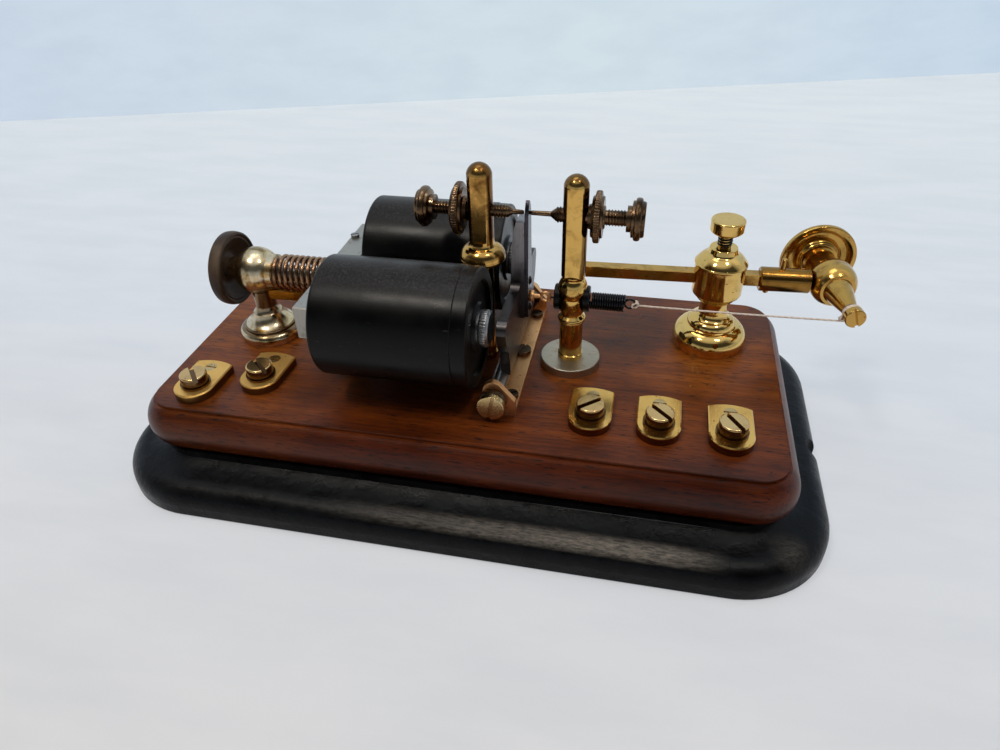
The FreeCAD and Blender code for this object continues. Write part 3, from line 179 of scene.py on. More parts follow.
def varnished_mahogany():
    """Mahogany under an old satin shellac: ribbon grain along X, short dark pores, specks and
    clouds of shade. The eye sees a brown top with painted shade and red reflection towards its
    front edge, and painted shade down the moulded edge."""
    material, tree, place = new_finish("varnished_mahogany")
    along = add(tree, "ShaderNodeMapping", {"Vector": place, "Scale": (0.055, 1.0, 1.0)})
    ribbon = add(tree, "ShaderNodeTexNoise",
                 {"Vector": along, "Scale": per_mm(6.0), "Detail": 6.0, "Roughness": 0.6,
                  "Distortion": 0.6})
    streak = add(tree, "ShaderNodeTexNoise",
                 {"Vector": along, "Scale": per_mm(0.9), "Detail": 4.0, "Roughness": 0.7,
                  "Distortion": 0.3})
    both = add(tree, "ShaderNodeMath", {0: ribbon, 1: 0.55}, operation="MULTIPLY")
    both = add(tree, "ShaderNodeMath", {0: streak, 1: 0.45, 2: both}, operation="MULTIPLY_ADD")
    brown = add(tree, "ShaderNodeValToRGB", {"Fac": both},
                ramp=[(0.30, "#52270a"), (0.43, "#753b10"), (0.52, "#8c4a14"), (0.63, "#9e591b"),
                      (0.76, "#b06b26")])
    # Painted shade and red reflection: a darker, redder copy of the wood takes over towards the front
    # edge, less so at the left end.
    shaded_red = add(tree, "ShaderNodeValToRGB", {"Fac": both},
              ramp=[(0.30, "#3a1606"), (0.43, "#572509"), (0.52, "#6e310c"), (0.63, "#803e13"),
                    (0.76, "#93501b")])
    where = add(tree, "ShaderNodeSeparateXYZ", {0: place})
    front_shade = add(tree, "ShaderNodeMapRange",
                   {"Value": where.outputs["Y"], "From Min": 0.0, "From Max": -0.044})
    leftmost = add(tree, "ShaderNodeMapRange",
                   {"Value": where.outputs["X"], "From Min": -0.08, "From Max": -0.035, "To Min": 0.25,
                    "To Max": 1.0})
    front_shade = add(tree, "ShaderNodeMath", {0: front_shade, 1: leftmost}, operation="MULTIPLY")
    colour = add(tree, "ShaderNodeMix", {"Factor": front_shade, "A": brown, "B": shaded_red}, data_type="RGBA")
    dashes = add(tree, "ShaderNodeMapping", {"Vector": place, "Scale": (0.10, 1.0, 1.0)})
    pores = add(tree, "ShaderNodeTexNoise",
                {"Vector": dashes, "Scale": per_mm(0.42), "Detail": 2.0, "Roughness": 0.5})
    pores = add(tree, "ShaderNodeValToRGB", {"Fac": pores}, ramp=[(0.58, 0.0), (0.68, 0.9)])
    colour = add(tree, "ShaderNodeMix",
                 {"Factor": pores, "A": colour.outputs["Result"], "B": linear("#190a05")},
                 data_type="RGBA")
    cloud = add(tree, "ShaderNodeTexNoise",
                {"Vector": place, "Scale": per_mm(38.0), "Detail": 3.0, "Roughness": 0.55})
    shade = add(tree, "ShaderNodeValToRGB", {"Fac": cloud},
                ramp=[(0.36, "#8c7a74"), (0.52, "#d6c9c2"), (0.66, "#ffffff")])
    colour = add(tree, "ShaderNodeMix", {"Factor": 0.7, "A": colour.outputs["Result"], "B": shade},
                 data_type="RGBA", blend_type="MULTIPLY")
    # Painted shade: the wood darkens down the moulded edge below the top.
    side = add(tree, "ShaderNodeMapRange",
               {"Value": where.outputs["Z"], "From Min": 0.0300, "From Max": 0.0313, "To Min": 0.6,
                "To Max": 0.0})
    colour = add(tree, "ShaderNodeMix", {"Factor": side, "A": colour.outputs["Result"],
                                         "B": linear("#9c6a5a")}, data_type="RGBA", blend_type="MULTIPLY")
    specks = add(tree, "ShaderNodeTexVoronoi", {"Vector": place, "Scale": per_mm(5.2), "Randomness": 1.0})
    specks = add(tree, "ShaderNodeValToRGB", {"Fac": specks.outputs["Distance"]},
                 ramp=[(0.05, 0.8), (0.10, 0.0)])
    right = add(tree, "ShaderNodeMapRange",
                {"Value": where.outputs["X"], "From Min": 0.03, "From Max": 0.08, "To Min": 0.2,
                 "To Max": 1.0})
    specks = add(tree, "ShaderNodeMath", {0: specks, 1: right}, operation="MULTIPLY")
    colour = add(tree, "ShaderNodeMix",
                 {"Factor": specks, "A": colour.outputs["Result"], "B": linear("#120805")},
                 data_type="RGBA")
    polish = add(tree, "ShaderNodeMapRange", {"Value": cloud, "From Min": 0.3, "From Max": 0.7,
                                              "To Min": 0.26, "To Max": 0.42})
    film = add(tree, "ShaderNodeTexNoise", {"Vector": place, "Scale": per_mm(2.4), "Detail": 3.0})
    ripple = add(tree, "ShaderNodeBump", {"Height": film, "Strength": 0.10, "Distance": 0.0004})
    sunk = add(tree, "ShaderNodeBump",
               {"Height": pores, "Strength": 0.25, "Distance": 0.00012, "Normal": ripple}, invert=True)
    return close_finish(material, tree, Base_Color=colour.outputs["Result"], Roughness=polish,
                        Normal=sunk, IOR=1.33)


def brass(name, bright, dull, roughness, tarnish, brushed=None, lathe=None, shaded_below=None,
          flat_above=None, satin_left=None):
    """Brass: bright is the clean metal, dull the tarnish that covers a share of it in patches and
    spots. lathe turns fine tool lines about an axis (its letter is the axis they repeat along),
    and brushed draws them out along an axis instead. Walls and slots under shaded_below are brown
    with painted shade, and above flat_above so is all but the filed flat in front, as tarnish on
    the domes and painted dark reflection on the sides. Left of satin_left the polish has gone satin."""
    material, tree, place = new_finish(name)
    patches = add(tree, "ShaderNodeTexNoise",
                  {"Vector": place, "Scale": per_mm(5.5), "Detail": 5.0, "Roughness": 0.62,
                   "Distortion": 0.5})
    spread = 0.2 * tarnish
    cover = add(tree, "ShaderNodeValToRGB", {"Fac": patches},
                ramp=[(0.56 - spread, 0.0), (0.78 - spread, 1.0)])
    spots = add(tree, "ShaderNodeTexVoronoi", {"Vector": place, "Scale": per_mm(2.6), "Randomness": 1.0})
    spots = add(tree, "ShaderNodeValToRGB", {"Fac": spots.outputs["Distance"]},
                ramp=[(0.07, 0.8), (0.13, 0.0)])
    dirt = add(tree, "ShaderNodeMath", {0: cover, 1: tarnish + 0.25}, operation="MULTIPLY")
    dirt = add(tree, "ShaderNodeMath", {0: dirt, 1: spots}, operation="MAXIMUM")
    hue = add(tree, "ShaderNodeTexNoise", {"Vector": place, "Scale": per_mm(11.0), "Detail": 2.0})
    clean = add(tree, "ShaderNodeMix", {"Factor": hue, "A": linear(bright[0]), "B": linear(bright[1])},
                data_type="RGBA")
    colour = add(tree, "ShaderNodeMix", {"Factor": dirt, "A": clean.outputs["Result"], "B": linear(dull)},
                 data_type="RGBA")
    where = add(tree, "ShaderNodeSeparateXYZ", {0: place})
    # Painted shade: walls and slots below the height shaded_below turn brown.
    if shaded_below:
        brown = add(tree, "ShaderNodeMapRange", {"Value": where.outputs["Z"], "From Min": shaded_below,
                                                 "From Max": shaded_below - 0.0004, "To Max": 0.85})
        colour = add(tree, "ShaderNodeMix", {"Factor": brown, "A": colour.outputs["Result"],
                                             "B": linear("#4a2c16")}, data_type="RGBA")
    # Above flat_above, all but the filed front flat turns brown: tarnish on the domes, painted dark
    # reflection on the turned sides.
    if flat_above:
        behind = add(tree, "ShaderNodeMapRange",
                     {"Value": where.outputs["Y"], "From Min": -0.0030, "From Max": -0.0026})
        above = add(tree, "ShaderNodeMapRange", {"Value": where.outputs["Z"], "From Min": flat_above,
                                                 "From Max": flat_above + 0.0015})
        brown = add(tree, "ShaderNodeMath", {0: behind, 1: above}, operation="MULTIPLY")
        uneven = add(tree, "ShaderNodeMapRange", {"Value": hue, "From Min": 0.35, "From Max": 0.65,
                                                  "To Min": 0.95, "To Max": 0.7})
        brown = add(tree, "ShaderNodeMath", {0: brown, 1: uneven}, operation="MULTIPLY")
        colour = add(tree, "ShaderNodeMix",
                     {"Factor": brown, "A": colour.outputs["Result"], "B": linear("#5a371c")},
                     data_type="RGBA")
    if lathe:
        squeeze = tuple(1.0 if letter == lathe else 0.02 for letter in "XYZ")
    else:
        squeeze = tuple(0.05 if letter == brushed else 1.0 for letter in "XYZ")
    drawn = add(tree, "ShaderNodeMapping", {"Vector": place, "Scale": squeeze})
    lines = add(tree, "ShaderNodeTexNoise",
                {"Vector": drawn, "Scale": per_mm(0.35), "Detail": 3.0, "Roughness": 0.7})
    smooth = add(tree, "ShaderNodeMapRange", {"Value": lines, "To Min": roughness * 0.75,
                                              "To Max": roughness * 1.35})
    rough = add(tree, "ShaderNodeMath", {0: dirt, 1: 0.28, 2: smooth}, operation="MULTIPLY_ADD")
    if satin_left:
        satin = add(tree, "ShaderNodeMapRange", {"Value": where.outputs["X"], "From Min": satin_left,
                                                 "From Max": satin_left - 0.001, "To Max": 0.24})
        rough = add(tree, "ShaderNodeMath", {0: rough, 1: satin}, operation="ADD")
    fine = add(tree, "ShaderNodeBump",
               {"Height": lines, "Strength": 0.16 if brushed else 0.07, "Distance": 0.00012})
    dents = add(tree, "ShaderNodeBump",
                {"Height": patches, "Strength": 0.06, "Distance": 0.0006, "Normal": fine})
    return close_finish(material, tree, Base_Color=colour.outputs["Result"], Metallic=1.0,
                        Roughness=rough, Normal=dents)


def worn_nickel():
    """Nickel plate worn through to the brass: pale grey-gold, with brass showing in patches and
    along the ball, and darker brown in the waist under the ball and at a groove lower down."""
    material, tree, place = new_finish("worn_nickel_over_brass")
    wear = add(tree, "ShaderNodeTexNoise",
               {"Vector": place, "Scale": per_mm(8.0), "Detail": 5.0, "Roughness": 0.6,
                "Distortion": 0.8})
    colour = add(tree, "ShaderNodeValToRGB", {"Fac": wear},
                 ramp=[(0.34, "#8a7450"), (0.45, "#cbb286"), (0.56, "#dccdb0"), (0.66, "#c99c54"),
                       (0.78, "#9a743a")])
    where = add(tree, "ShaderNodeSeparateXYZ", {0: place})
    waist = add(tree, "ShaderNodeMapRange",
                {"Value": where.outputs["Z"], "From Min": 0.0405, "From Max": 0.0440})
    under = add(tree, "ShaderNodeMapRange",
                {"Value": where.outputs["Z"], "From Min": 0.0545, "From Max": 0.0500})
    brown = add(tree, "ShaderNodeMath", {0: waist, 1: under}, operation="MULTIPLY")
    groove = add(tree, "ShaderNodeMath", {0: where.outputs["Z"], 1: 0.0366, 2: 0.0007},
                 operation="COMPARE")
    brown = add(tree, "ShaderNodeMath", {0: brown, 1: groove}, operation="MAXIMUM")
    brown = add(tree, "ShaderNodeMath", {0: brown, 1: 0.75}, operation="MULTIPLY")
    colour = add(tree, "ShaderNodeMix", {"Factor": brown, "A": colour, "B": linear("#5f4020")},
                 data_type="RGBA")
    lines = add(tree, "ShaderNodeMapping", {"Vector": place, "Scale": (0.02, 0.02, 1.0)})
    lines = add(tree, "ShaderNodeTexNoise", {"Vector": lines, "Scale": per_mm(0.4), "Detail": 3.0})
    rough = add(tree, "ShaderNodeMapRange", {"Value": wear, "To Min": 0.14, "To Max": 0.34})
    bump = add(tree, "ShaderNodeBump", {"Height": lines, "Strength": 0.08, "Distance": 0.00012})
    return close_finish(material, tree, Base_Color=colour.outputs["Result"], Metallic=1.0,
                        Roughness=rough, Normal=bump)


def ground_metal(name, pale, dark, drawn, roughness, rust="#5a4233", stain=0.25, shaded_below=None):
    """Ground or filed iron: fine parallel lines along one axis, grey with darker stains, and
    darkened with painted shade under the height shaded_below."""
    material, tree, place = new_finish(name)
    stretch = tuple(0.04 if letter == drawn else 1.0 for letter in "XYZ")
    lines = add(tree, "ShaderNodeMapping", {"Vector": place, "Scale": stretch})
    lines = add(tree, "ShaderNodeTexNoise",
                {"Vector": lines, "Scale": per_mm(0.5), "Detail": 4.0, "Roughness": 0.7})
    colour = add(tree, "ShaderNodeMix", {"Factor": lines, "A": linear(dark), "B": linear(pale)},
                 data_type="RGBA")
    spots = add(tree, "ShaderNodeTexNoise",
                {"Vector": place, "Scale": per_mm(3.2), "Detail": 6.0, "Roughness": 0.7})
    spots = add(tree, "ShaderNodeValToRGB", {"Fac": spots}, ramp=[(0.55, 0.0), (0.72, 1.0)])
    mask = add(tree, "ShaderNodeMath", {0: spots, 1: stain}, operation="MULTIPLY")
    colour = add(tree, "ShaderNodeMix",
                 {"Factor": mask, "A": colour.outputs["Result"], "B": linear(rust)}, data_type="RGBA")
    # Painted shade under the height shaded_below.
    if shaded_below:
        where = add(tree, "ShaderNodeSeparateXYZ", {0: place})
        lower_shade = add(tree, "ShaderNodeMapRange",
                    {"Value": where.outputs["Z"], "From Min": shaded_below + 0.004,
                     "From Max": shaded_below - 0.004, "To Max": 0.85})
        colour = add(tree, "ShaderNodeMix", {"Factor": lower_shade, "A": colour.outputs["Result"],
                                             "B": linear("#2e2824")}, data_type="RGBA")
    base = add(tree, "ShaderNodeMapRange",
               {"Value": lines, "To Min": roughness * 0.8, "To Max": roughness * 1.25})
    rough = add(tree, "ShaderNodeMath", {0: mask, 1: 0.3, 2: base}, operation="MULTIPLY_ADD")
    bump = add(tree, "ShaderNodeBump", {"Height": lines, "Strength": 0.2, "Distance": 0.0001})
    return close_finish(material, tree, Base_Color=colour.outputs["Result"], Metallic=1.0,
                        Roughness=rough, Normal=bump)


def ebonite(name, colour_stops, roughness):
    """Hard rubber, turned and polished long ago: near black, with a painted sheen and dust on its
    upper side, with fine turning rings and rubbed marks."""
    material, tree, place = new_finish(name)
    cloud = add(tree, "ShaderNodeTexNoise",
                {"Vector": place, "Scale": per_mm(13.0), "Detail": 4.0, "Roughness": 0.55})
    colour = add(tree, "ShaderNodeValToRGB", {"Fac": cloud}, ramp=colour_stops)
    where = add(tree, "ShaderNodeSeparateXYZ", {0: place})
    # Painted sheen: the upper side turns brown-grey, standing in for the light it catches from above.
    top_sheen = add(tree, "ShaderNodeMapRange",
              {"Value": where.outputs["Z"], "From Min": 0.069, "From Max": 0.0757, "To Min": 0.0,
               "To Max": 0.7})
    colour = add(tree, "ShaderNodeMix", {"Factor": top_sheen, "A": colour, "B": linear("#1f1916")},
                 data_type="RGBA")
    rings = add(tree, "ShaderNodeMapping", {"Vector": place, "Scale": (1.0, 0.03, 0.03)})
    rings = add(tree, "ShaderNodeTexNoise",
                {"Vector": rings, "Scale": per_mm(0.7), "Detail": 3.0, "Roughness": 0.6})
    scuffs = add(tree, "ShaderNodeMapping",
                 {"Vector": place, "Scale": (0.25, 1.0, 1.0), "Rotation": (0.0, 0.0, 0.3)})
    scuffs = add(tree, "ShaderNodeTexNoise",
                 {"Vector": scuffs, "Scale": per_mm(1.4), "Detail": 5.0, "Roughness": 0.75})
    marks = add(tree, "ShaderNodeValToRGB", {"Fac": scuffs}, ramp=[(0.63, 0.0), (0.70, 0.5)])
    colour = add(tree, "ShaderNodeMix",
                 {"Factor": marks, "A": colour.outputs["Result"], "B": linear("#4a443e")},
                 data_type="RGBA")
    dust = add(tree, "ShaderNodeTexNoise",
               {"Vector": place, "Scale": per_mm(0.8), "Detail": 4.0, "Roughness": 0.8})
    dust = add(tree, "ShaderNodeValToRGB", {"Fac": dust}, ramp=[(0.46, 0.0), (0.70, 0.65)])
    settled = add(tree, "ShaderNodeMapRange",
                  {"Value": where.outputs["Z"], "From Min": 0.0712, "From Max": 0.0757})
    dust = add(tree, "ShaderNodeMath", {0: dust, 1: settled}, operation="MULTIPLY")
    colour = add(tree, "ShaderNodeMix",
                 {"Factor": dust, "A": colour.outputs["Result"], "B": linear("#4d453d")},
                 data_type="RGBA")
    rough = add(tree, "ShaderNodeMapRange", {"Value": cloud, "From Min": 0.3, "From Max": 0.7,
                                             "To Min": roughness * 0.8, "To Max": roughness * 1.25})
    bump = add(tree, "ShaderNodeBump", {"Height": rings, "Strength": 0.10, "Distance": 0.0002})
    soft = add(tree, "ShaderNodeBump",
               {"Height": scuffs, "Strength": 0.05, "Distance": 0.0003, "Normal": bump})
    return close_finish(material, tree, Base_Color=colour.outputs["Result"], Roughness=rough, Normal=soft,
                        IOR=1.27)


def silk(name, pale, dark):
    """Twisted silk: soft fibres with a little sheen, the twist drawn as slanting bands half a
    millimetre apart, coarser than the real twist so that they show."""
    material, tree, place = new_finish(name)
    bands = add(tree, "ShaderNodeTexWave",
                {"Vector": place, "Scale": per_mm(0.5) / TAU, "Distortion": 1.5, "Detail": 2.0},
                bands_direction="DIAGONAL")
    colour = add(tree, "ShaderNodeMix",
                 {"Factor": bands.outputs["Fac"], "A": linear(dark), "B": linear(pale)}, data_type="RGBA")
    bump = add(tree, "ShaderNodeBump",
               {"Height": bands.outputs["Fac"], "Strength": 0.5, "Distance": 0.0001})
    return close_finish(material, tree, Base_Color=colour.outputs["Result"], Roughness=0.7, Normal=bump,
                        Sheen_Weight=0.3)


def surface(name, grid):
    """A closed mesh from a grid of points (rows, columns, 3): each row is a ring joined to the
    next, and both end rings are closed on a point at their middle. The faces are turned outwards
    where the enclosed volume, a sum over the triangles, comes out negative."""
    rows, columns = grid.shape[:2]
    ring = np.arange(columns)
    after = (ring + 1) % columns
    row = columns * np.arange(rows - 1)[:, None]
    last = (rows - 1) * columns
    centre = np.full(columns, rows * columns)
    faces = np.stack([row + ring, row + after, row + columns + after, row + columns + ring],
                     -1).reshape(-1, 4).tolist()
    faces += np.stack([centre, after, ring], -1).tolist()
    faces += np.stack([centre + 1, last + ring, last + after], -1).tolist()
    points = np.concatenate([grid.reshape(-1, 3), grid[:1].mean(1), grid[-1:].mean(1)])
    mesh = bpy.data.meshes.new(name)
    mesh.from_pydata((points / 1000.0).tolist(), [], faces)
    mesh.polygons.foreach_set("use_smooth", [True] * len(mesh.polygons))
    mesh.update()
    mesh.calc_loop_triangles()
    corners = np.array([v.co for v in mesh.vertices])[np.array([t.vertices for t in mesh.loop_triangles])]
    if np.einsum("ij,ij->i", corners[:, 0], np.cross(corners[:, 1], corners[:, 2])).sum() < 0:
        mesh.flip_normals()
    piece = bpy.data.objects.new(name, mesh)
    bpy.context.scene.collection.objects.link(piece)
    return piece


def wire(name, path, radius, away, around):
    """A round wire: each point of the path carries a ring of around points in the plane across
    the path. away is a direction for each point that is nowhere along the path."""
    along = np.gradient(path, axis=0)
    along /= np.linalg.norm(along, axis=1)[:, None]
    side = np.cross(along, away)
    side /= np.linalg.norm(side, axis=1)[:, None]
    lift = np.cross(side, along)
    turn = np.linspace(0, TAU, around, endpoint=False)
    cosine, sine = np.cos(turn)[None, :, None], np.sin(turn)[None, :, None]
    grid = path[:, None] + radius * (cosine * side[:, None] + sine * lift[:, None])
    return surface(name, grid)


def frame_about(axis):
    """Three unit directions: the axis and two across it."""
    axis = np.array(axis, float) / np.linalg.norm(axis)
    across = np.cross(axis, (0.0, 0.3, 1.0))
    across /= np.linalg.norm(across)
    return axis, across, np.cross(axis, across)


def coil(origin, axis, start, end, turns, radius, per_turn, phase=0.0):
    """Points of a helix about an axis, and the outward direction at each: the angle grows evenly
    with the distance along. radius is one number or one for each point."""
    axis, across, third = frame_about(axis)
    t = np.linspace(0, 1, int(turns * per_turn) + 1)
    angle = (TAU * turns * t + phase)[:, None]
    outward = np.cos(angle) * across + np.sin(angle) * third
    along = (start + (end - start) * t)[:, None]
    reach = np.broadcast_to(radius, len(t))[:, None]
    return np.array(origin, float) + along * axis + reach * outward, outward


def lathe_grid(origin, axis, along, angles, radius):
    """Grid of a turned surface: radius is a table of distance by angle."""
    axis, across, third = frame_about(axis)
    spin = np.cos(angles)[None, :, None] * across + np.sin(angles)[None, :, None] * third
    return np.array(origin, float) + along[:, None, None] * axis + radius[:, :, None] * spin


def screw_thread(name, origin, axis, start, end, root, crest, pitch):
    """A cut thread: the radius is a rounded saw wave of (distance / pitch - angle / turn), faded
    to the root at both ends so that it closes on the shank."""
    along = np.linspace(start, end, max(8, int((end - start) / pitch * 8)))
    angles = np.linspace(0, TAU, 28, endpoint=False)
    wave = 0.5 + 0.5 * np.cos(TAU * (along[:, None] / pitch - angles[None, :] / TAU))
    ends = np.clip(np.minimum(along - start, end - along) / (0.6 * pitch), 0, 1)[:, None]
    grid = lathe_grid(origin, axis, along, angles, root + (crest - root) * wave ** 0.8 * ends)
    return surface(name, grid)


def milled_rim(name, origin, axis, start, end, radius, depth, count):
    """A milled edge: the radius rises and falls count times round the rim, the ends rounded in."""
    along = np.linspace(start, end, 9)
    angles = np.linspace(0, TAU, count * 6, endpoint=False)
    edge = np.sqrt(np.clip(1 - (2 * (along - start) / (end - start) - 1) ** 4, 0, 1))[:, None]
    ridge = np.abs(np.cos(0.5 * count * angles))[None, :]
    grid = lathe_grid(origin, axis, along, angles, radius - depth + edge * depth * (0.35 + 0.65 * ridge))
    return surface(name, grid)


def dress(piece, material, body, slot, *nodes):
    """Gives a new piece its finish and its body, and hides the nodes that it stands for. slot is not
    used.
    """
    piece.data.materials.append(material)
    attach(piece, body)
    if nodes:
        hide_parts(*nodes)
    return piece


def dress_spring(piece, material, bodies, ends, slot, *nodes):
    """Gives a coil spring its finish, bakes its place into its mesh and hides the nodes that it
    stands for. bodies, ends and slot are not used."""
    piece.data.materials.append(material)
    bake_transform(piece)
    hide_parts(*nodes)
    return piece


def finish_nodes(material, *names):
    """Puts a finish on CAD nodes."""
    for name in names:
        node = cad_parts[name]
        if not node.data.materials:
            node.data.materials.append(material)
        for slot in node.material_slots:
            slot.material = material


# Finishes.
iron = japanned_iron()
wood = varnished_mahogany()
post_brass = brass("polished_turned_brass", ("#ecca80", "#ddb15e"), "#7a5828", 0.09, 0.14, lathe="Z")
left_brass = brass("stained_turned_brass", ("#e0b468", "#bd8a42"), "#4c2c14", 0.14, 0.50, lathe="Z",
                   flat_above=0.0755)
right_brass = brass("half_stained_turned_brass", ("#e8c274", "#d8a854"), "#56361a", 0.11, 0.34, lathe="Z",
                    flat_above=0.0655)
bar_brass = brass("polished_drawn_brass", ("#cfa75a", "#bb8c45"), "#5a3d1e", 0.12, 0.30, brushed="X")
sleeve_brass = brass("dull_drawn_brass", ("#a87d3c", "#8c632c"), "#4a3018", 0.15, 0.30, brushed="X")
plate_brass = brass("stamped_brass_plate", ("#fbcb78", "#e9b45c"), "#86602f", 0.17, 0.06, brushed="Y",
                    shaded_below=0.0346, satin_left=-0.040)
screw_brass = brass("pale_turned_brass", ("#e8c890", "#d2a362"), "#6b4a28", 0.20, 0.10, brushed="X",
                    shaded_below=0.0388)
small_screw_brass = brass("pale_screw_brass", ("#e2cb98", "#c7a264"), "#5b4526", 0.24, 0.2, brushed="X")
bronze = brass("dark_bronze", ("#8e7458", "#4e331e"), "#1e120a", 0.17, 0.62, lathe="X")
strip_brass = brass("brushed_brass_strip", ("#f8c48c", "#e6a566"), "#8a5630", 0.38, 0.22, brushed="Y")
spring_bronze = brass("phosphor_bronze_wire", ("#b38c6a", "#8b664a"), "#33241a", 0.20, 0.45, lathe="X")
nickel = worn_nickel()
steel = ground_metal("ground_steel", "#bdbab8", "#7c7978", "Y", 0.32)
yoke_iron = ground_metal("filed_yoke_iron", "#c6c2ba", "#8b877f", "Z", 0.42, rust="#443e37", stain=0.5)
foot_tin = ground_metal("dull_tinned_brass", "#cbc0ac", "#948a7a", "X", 0.40, rust="#8a5a38", stain=0.6)
tongue_steel = ground_metal("blued_spring_steel", "#55535a", "#2c2a2f", "Z", 0.24, stain=0.35)
soft_iron = ground_metal("filed_soft_iron", "#b4b0b4", "#6c686a", "Z", 0.30, stain=0.5, shaded_below=0.067)
dark_iron = ground_metal("blackened_iron", "#3a3634", "#1c1a19", "Z", 0.34, stain=0.3)
browned_steel = ground_metal("browned_steel_screws", "#7d6650", "#3b2c20", "X", 0.30, stain=0.4)
spring_steel = ground_metal("blackened_spring_wire", "#39393c", "#161617", "X", 0.28, stain=0.1)
black_ebonite = ebonite("polished_ebonite", [(0.3, "#040303"), (0.55, "#070605"), (0.75, "#0d0b09")],
                        0.32)
knob_ebonite = ebonite("turned_ebonite_knob", [(0.3, "#33281f"), (0.55, "#4c3b2e"), (0.75, "#62503f")],
                       0.42)
wound_silk = silk("silk_covered_copper", "#3d5a40", "#24392a")
thread_silk = silk("silk_thread", "#f2e0cf", "#e2cab6")

finish_nodes(iron, "iron_base")
finish_nodes(wood, "mahogany_plinth")
finish_nodes(post_brass, "tension_post", "clamp_screw")
finish_nodes(left_brass, "left_contact_post")
finish_nodes(right_brass, "right_contact_post")
finish_nodes(bar_brass, "tension_bar", "winder_elbow", "winding_knob", "winding_screw", "sleeve_pins",
             "guide_rod")
finish_nodes(sleeve_brass, "winder_sleeve")
finish_nodes(plate_brass, "terminal_plates")
finish_nodes(screw_brass, "terminal_washers", "terminal_screw_1", "terminal_screw_2", "terminal_screw_3",
             "terminal_screw_4", "terminal_screw_5")
finish_nodes(small_screw_brass, "terminal_fixing_screws", "trunnion_screws")
finish_nodes(bronze, "left_contact_screw", "right_contact_screw", "left_locknut", "right_locknut")
finish_nodes(strip_brass, "trunnion_bracket", "magnet_carriage", "spring_hook")
finish_nodes(nickel, "adjuster_post")
finish_nodes(foot_tin, "right_post_foot")
finish_nodes(yoke_iron, "yoke_bar")
finish_nodes(steel, "core_front", "core_back", "armature_axle", "yoke_screws", "adjuster_screw",
             "winding_spindle", "plinth_screws", "post_nuts")
finish_nodes(tongue_steel, "armature_tongue")
finish_nodes(soft_iron, "armature_plate")
finish_nodes(dark_iron, "armature_rivets")
finish_nodes(browned_steel, "bracket_screws", "trunnion_locknuts", "carriage_screws")
finish_nodes(spring_bronze, "magnet_spring")
finish_nodes(spring_steel, "tension_spring")
finish_nodes(black_ebonite, "bobbin_front", "bobbin_back", "coil_sleeve_front", "coil_sleeve_back",
             "spring_bush")
finish_nodes(knob_ebonite, "adjuster_knob")
finish_nodes(wound_silk, "winding_front", "winding_back")
finish_nodes(thread_silk, "tension_thread")

# Thread from the spring's loop to the winding drum, held taut and sagging a little.
SAG = 0.25
drum = np.array([114.06, 22.68, COIL_Z])
drum_axis = np.array([0.15471, -0.98796, 0.0])
thread_start = np.array([52.7, 0.0, 56.2])
thread_end = drum + 18.8 * drum_axis + np.array([-1.4, 0.0, -3.0])
thread_line = bpy.data.curves.new("tension_thread_line", "CURVE")
thread_line.dimensions = "3D"
thread_line.bevel_depth = 0.0003
thread_line.bevel_resolution = 3
route = thread_line.splines.new("NURBS")
route.points.add(3)
for point, share in zip(route.points, (0.0, 0.34, 0.67, 1.0)):
    middle = thread_start + share * (thread_end - thread_start)
    middle[2] -= SAG * math.sin(math.pi * share)
    point.co = list(middle / 1000.0) + [1.0]
route.order_u = 3
route.use_endpoint_u = True
thread = bpy.data.objects.new("thread", thread_line)
bpy.context.scene.collection.objects.link(thread)
dress(thread, thread_silk, "tension_arm", "thread", "tension_thread")

# Thread wound on the drum: a helix whose radius swells where a second layer lies on the first,
# with a lump of crossing turns on the thread's side, and the knot on the spring's loop.
THREAD_TURNS = 5
TURN_POINTS = 32
KNOT_POINTS = 160
DRUM_RADIUS = 2.35
layers = np.sin(np.linspace(0, 3 * math.pi, TURN_POINTS * THREAD_TURNS + 1)) ** 2
path, outward = coil(drum, drum_axis, 18.15, 19.7, THREAD_TURNS, DRUM_RADIUS + 0.3 * layers,
                     TURN_POINTS, phase=-1.6)
dress(wire("thread_turns", path, 0.3, outward, 8), thread_silk, "winding_peg", "thread")
t = np.linspace(0, 1, KNOT_POINTS)[:, None]
knot_away = np.tile((0.31, 0.95, 0.1), (KNOT_POINTS, 1))
lump = drum + 18.9 * drum_axis + np.array([-2.2, 0.0, -1.7])
curl = np.concatenate([0.75 * np.cos(TAU * 4 * t) + 0.3 * np.cos(TAU * t), 0.7 * np.sin(TAU * 5 * t),
                       0.8 * np.sin(TAU * 4 * t + 0.7)], 1)
dress(wire("thread_end_knot", lump + curl, 0.26, knot_away, 8), thread_silk, "winding_peg", "thread")
knot = np.concatenate([52.1 + 0.8 * np.cos(TAU * 3 * t) + 0.4 * t, 0.75 * np.sin(TAU * 4 * t),
                       56.5 + 0.85 * np.sin(TAU * 3 * t + 0.6)], 1)
dress(wire("thread_knot", knot, 0.27, knot_away, 8), thread_silk, "tension_arm", "thread")

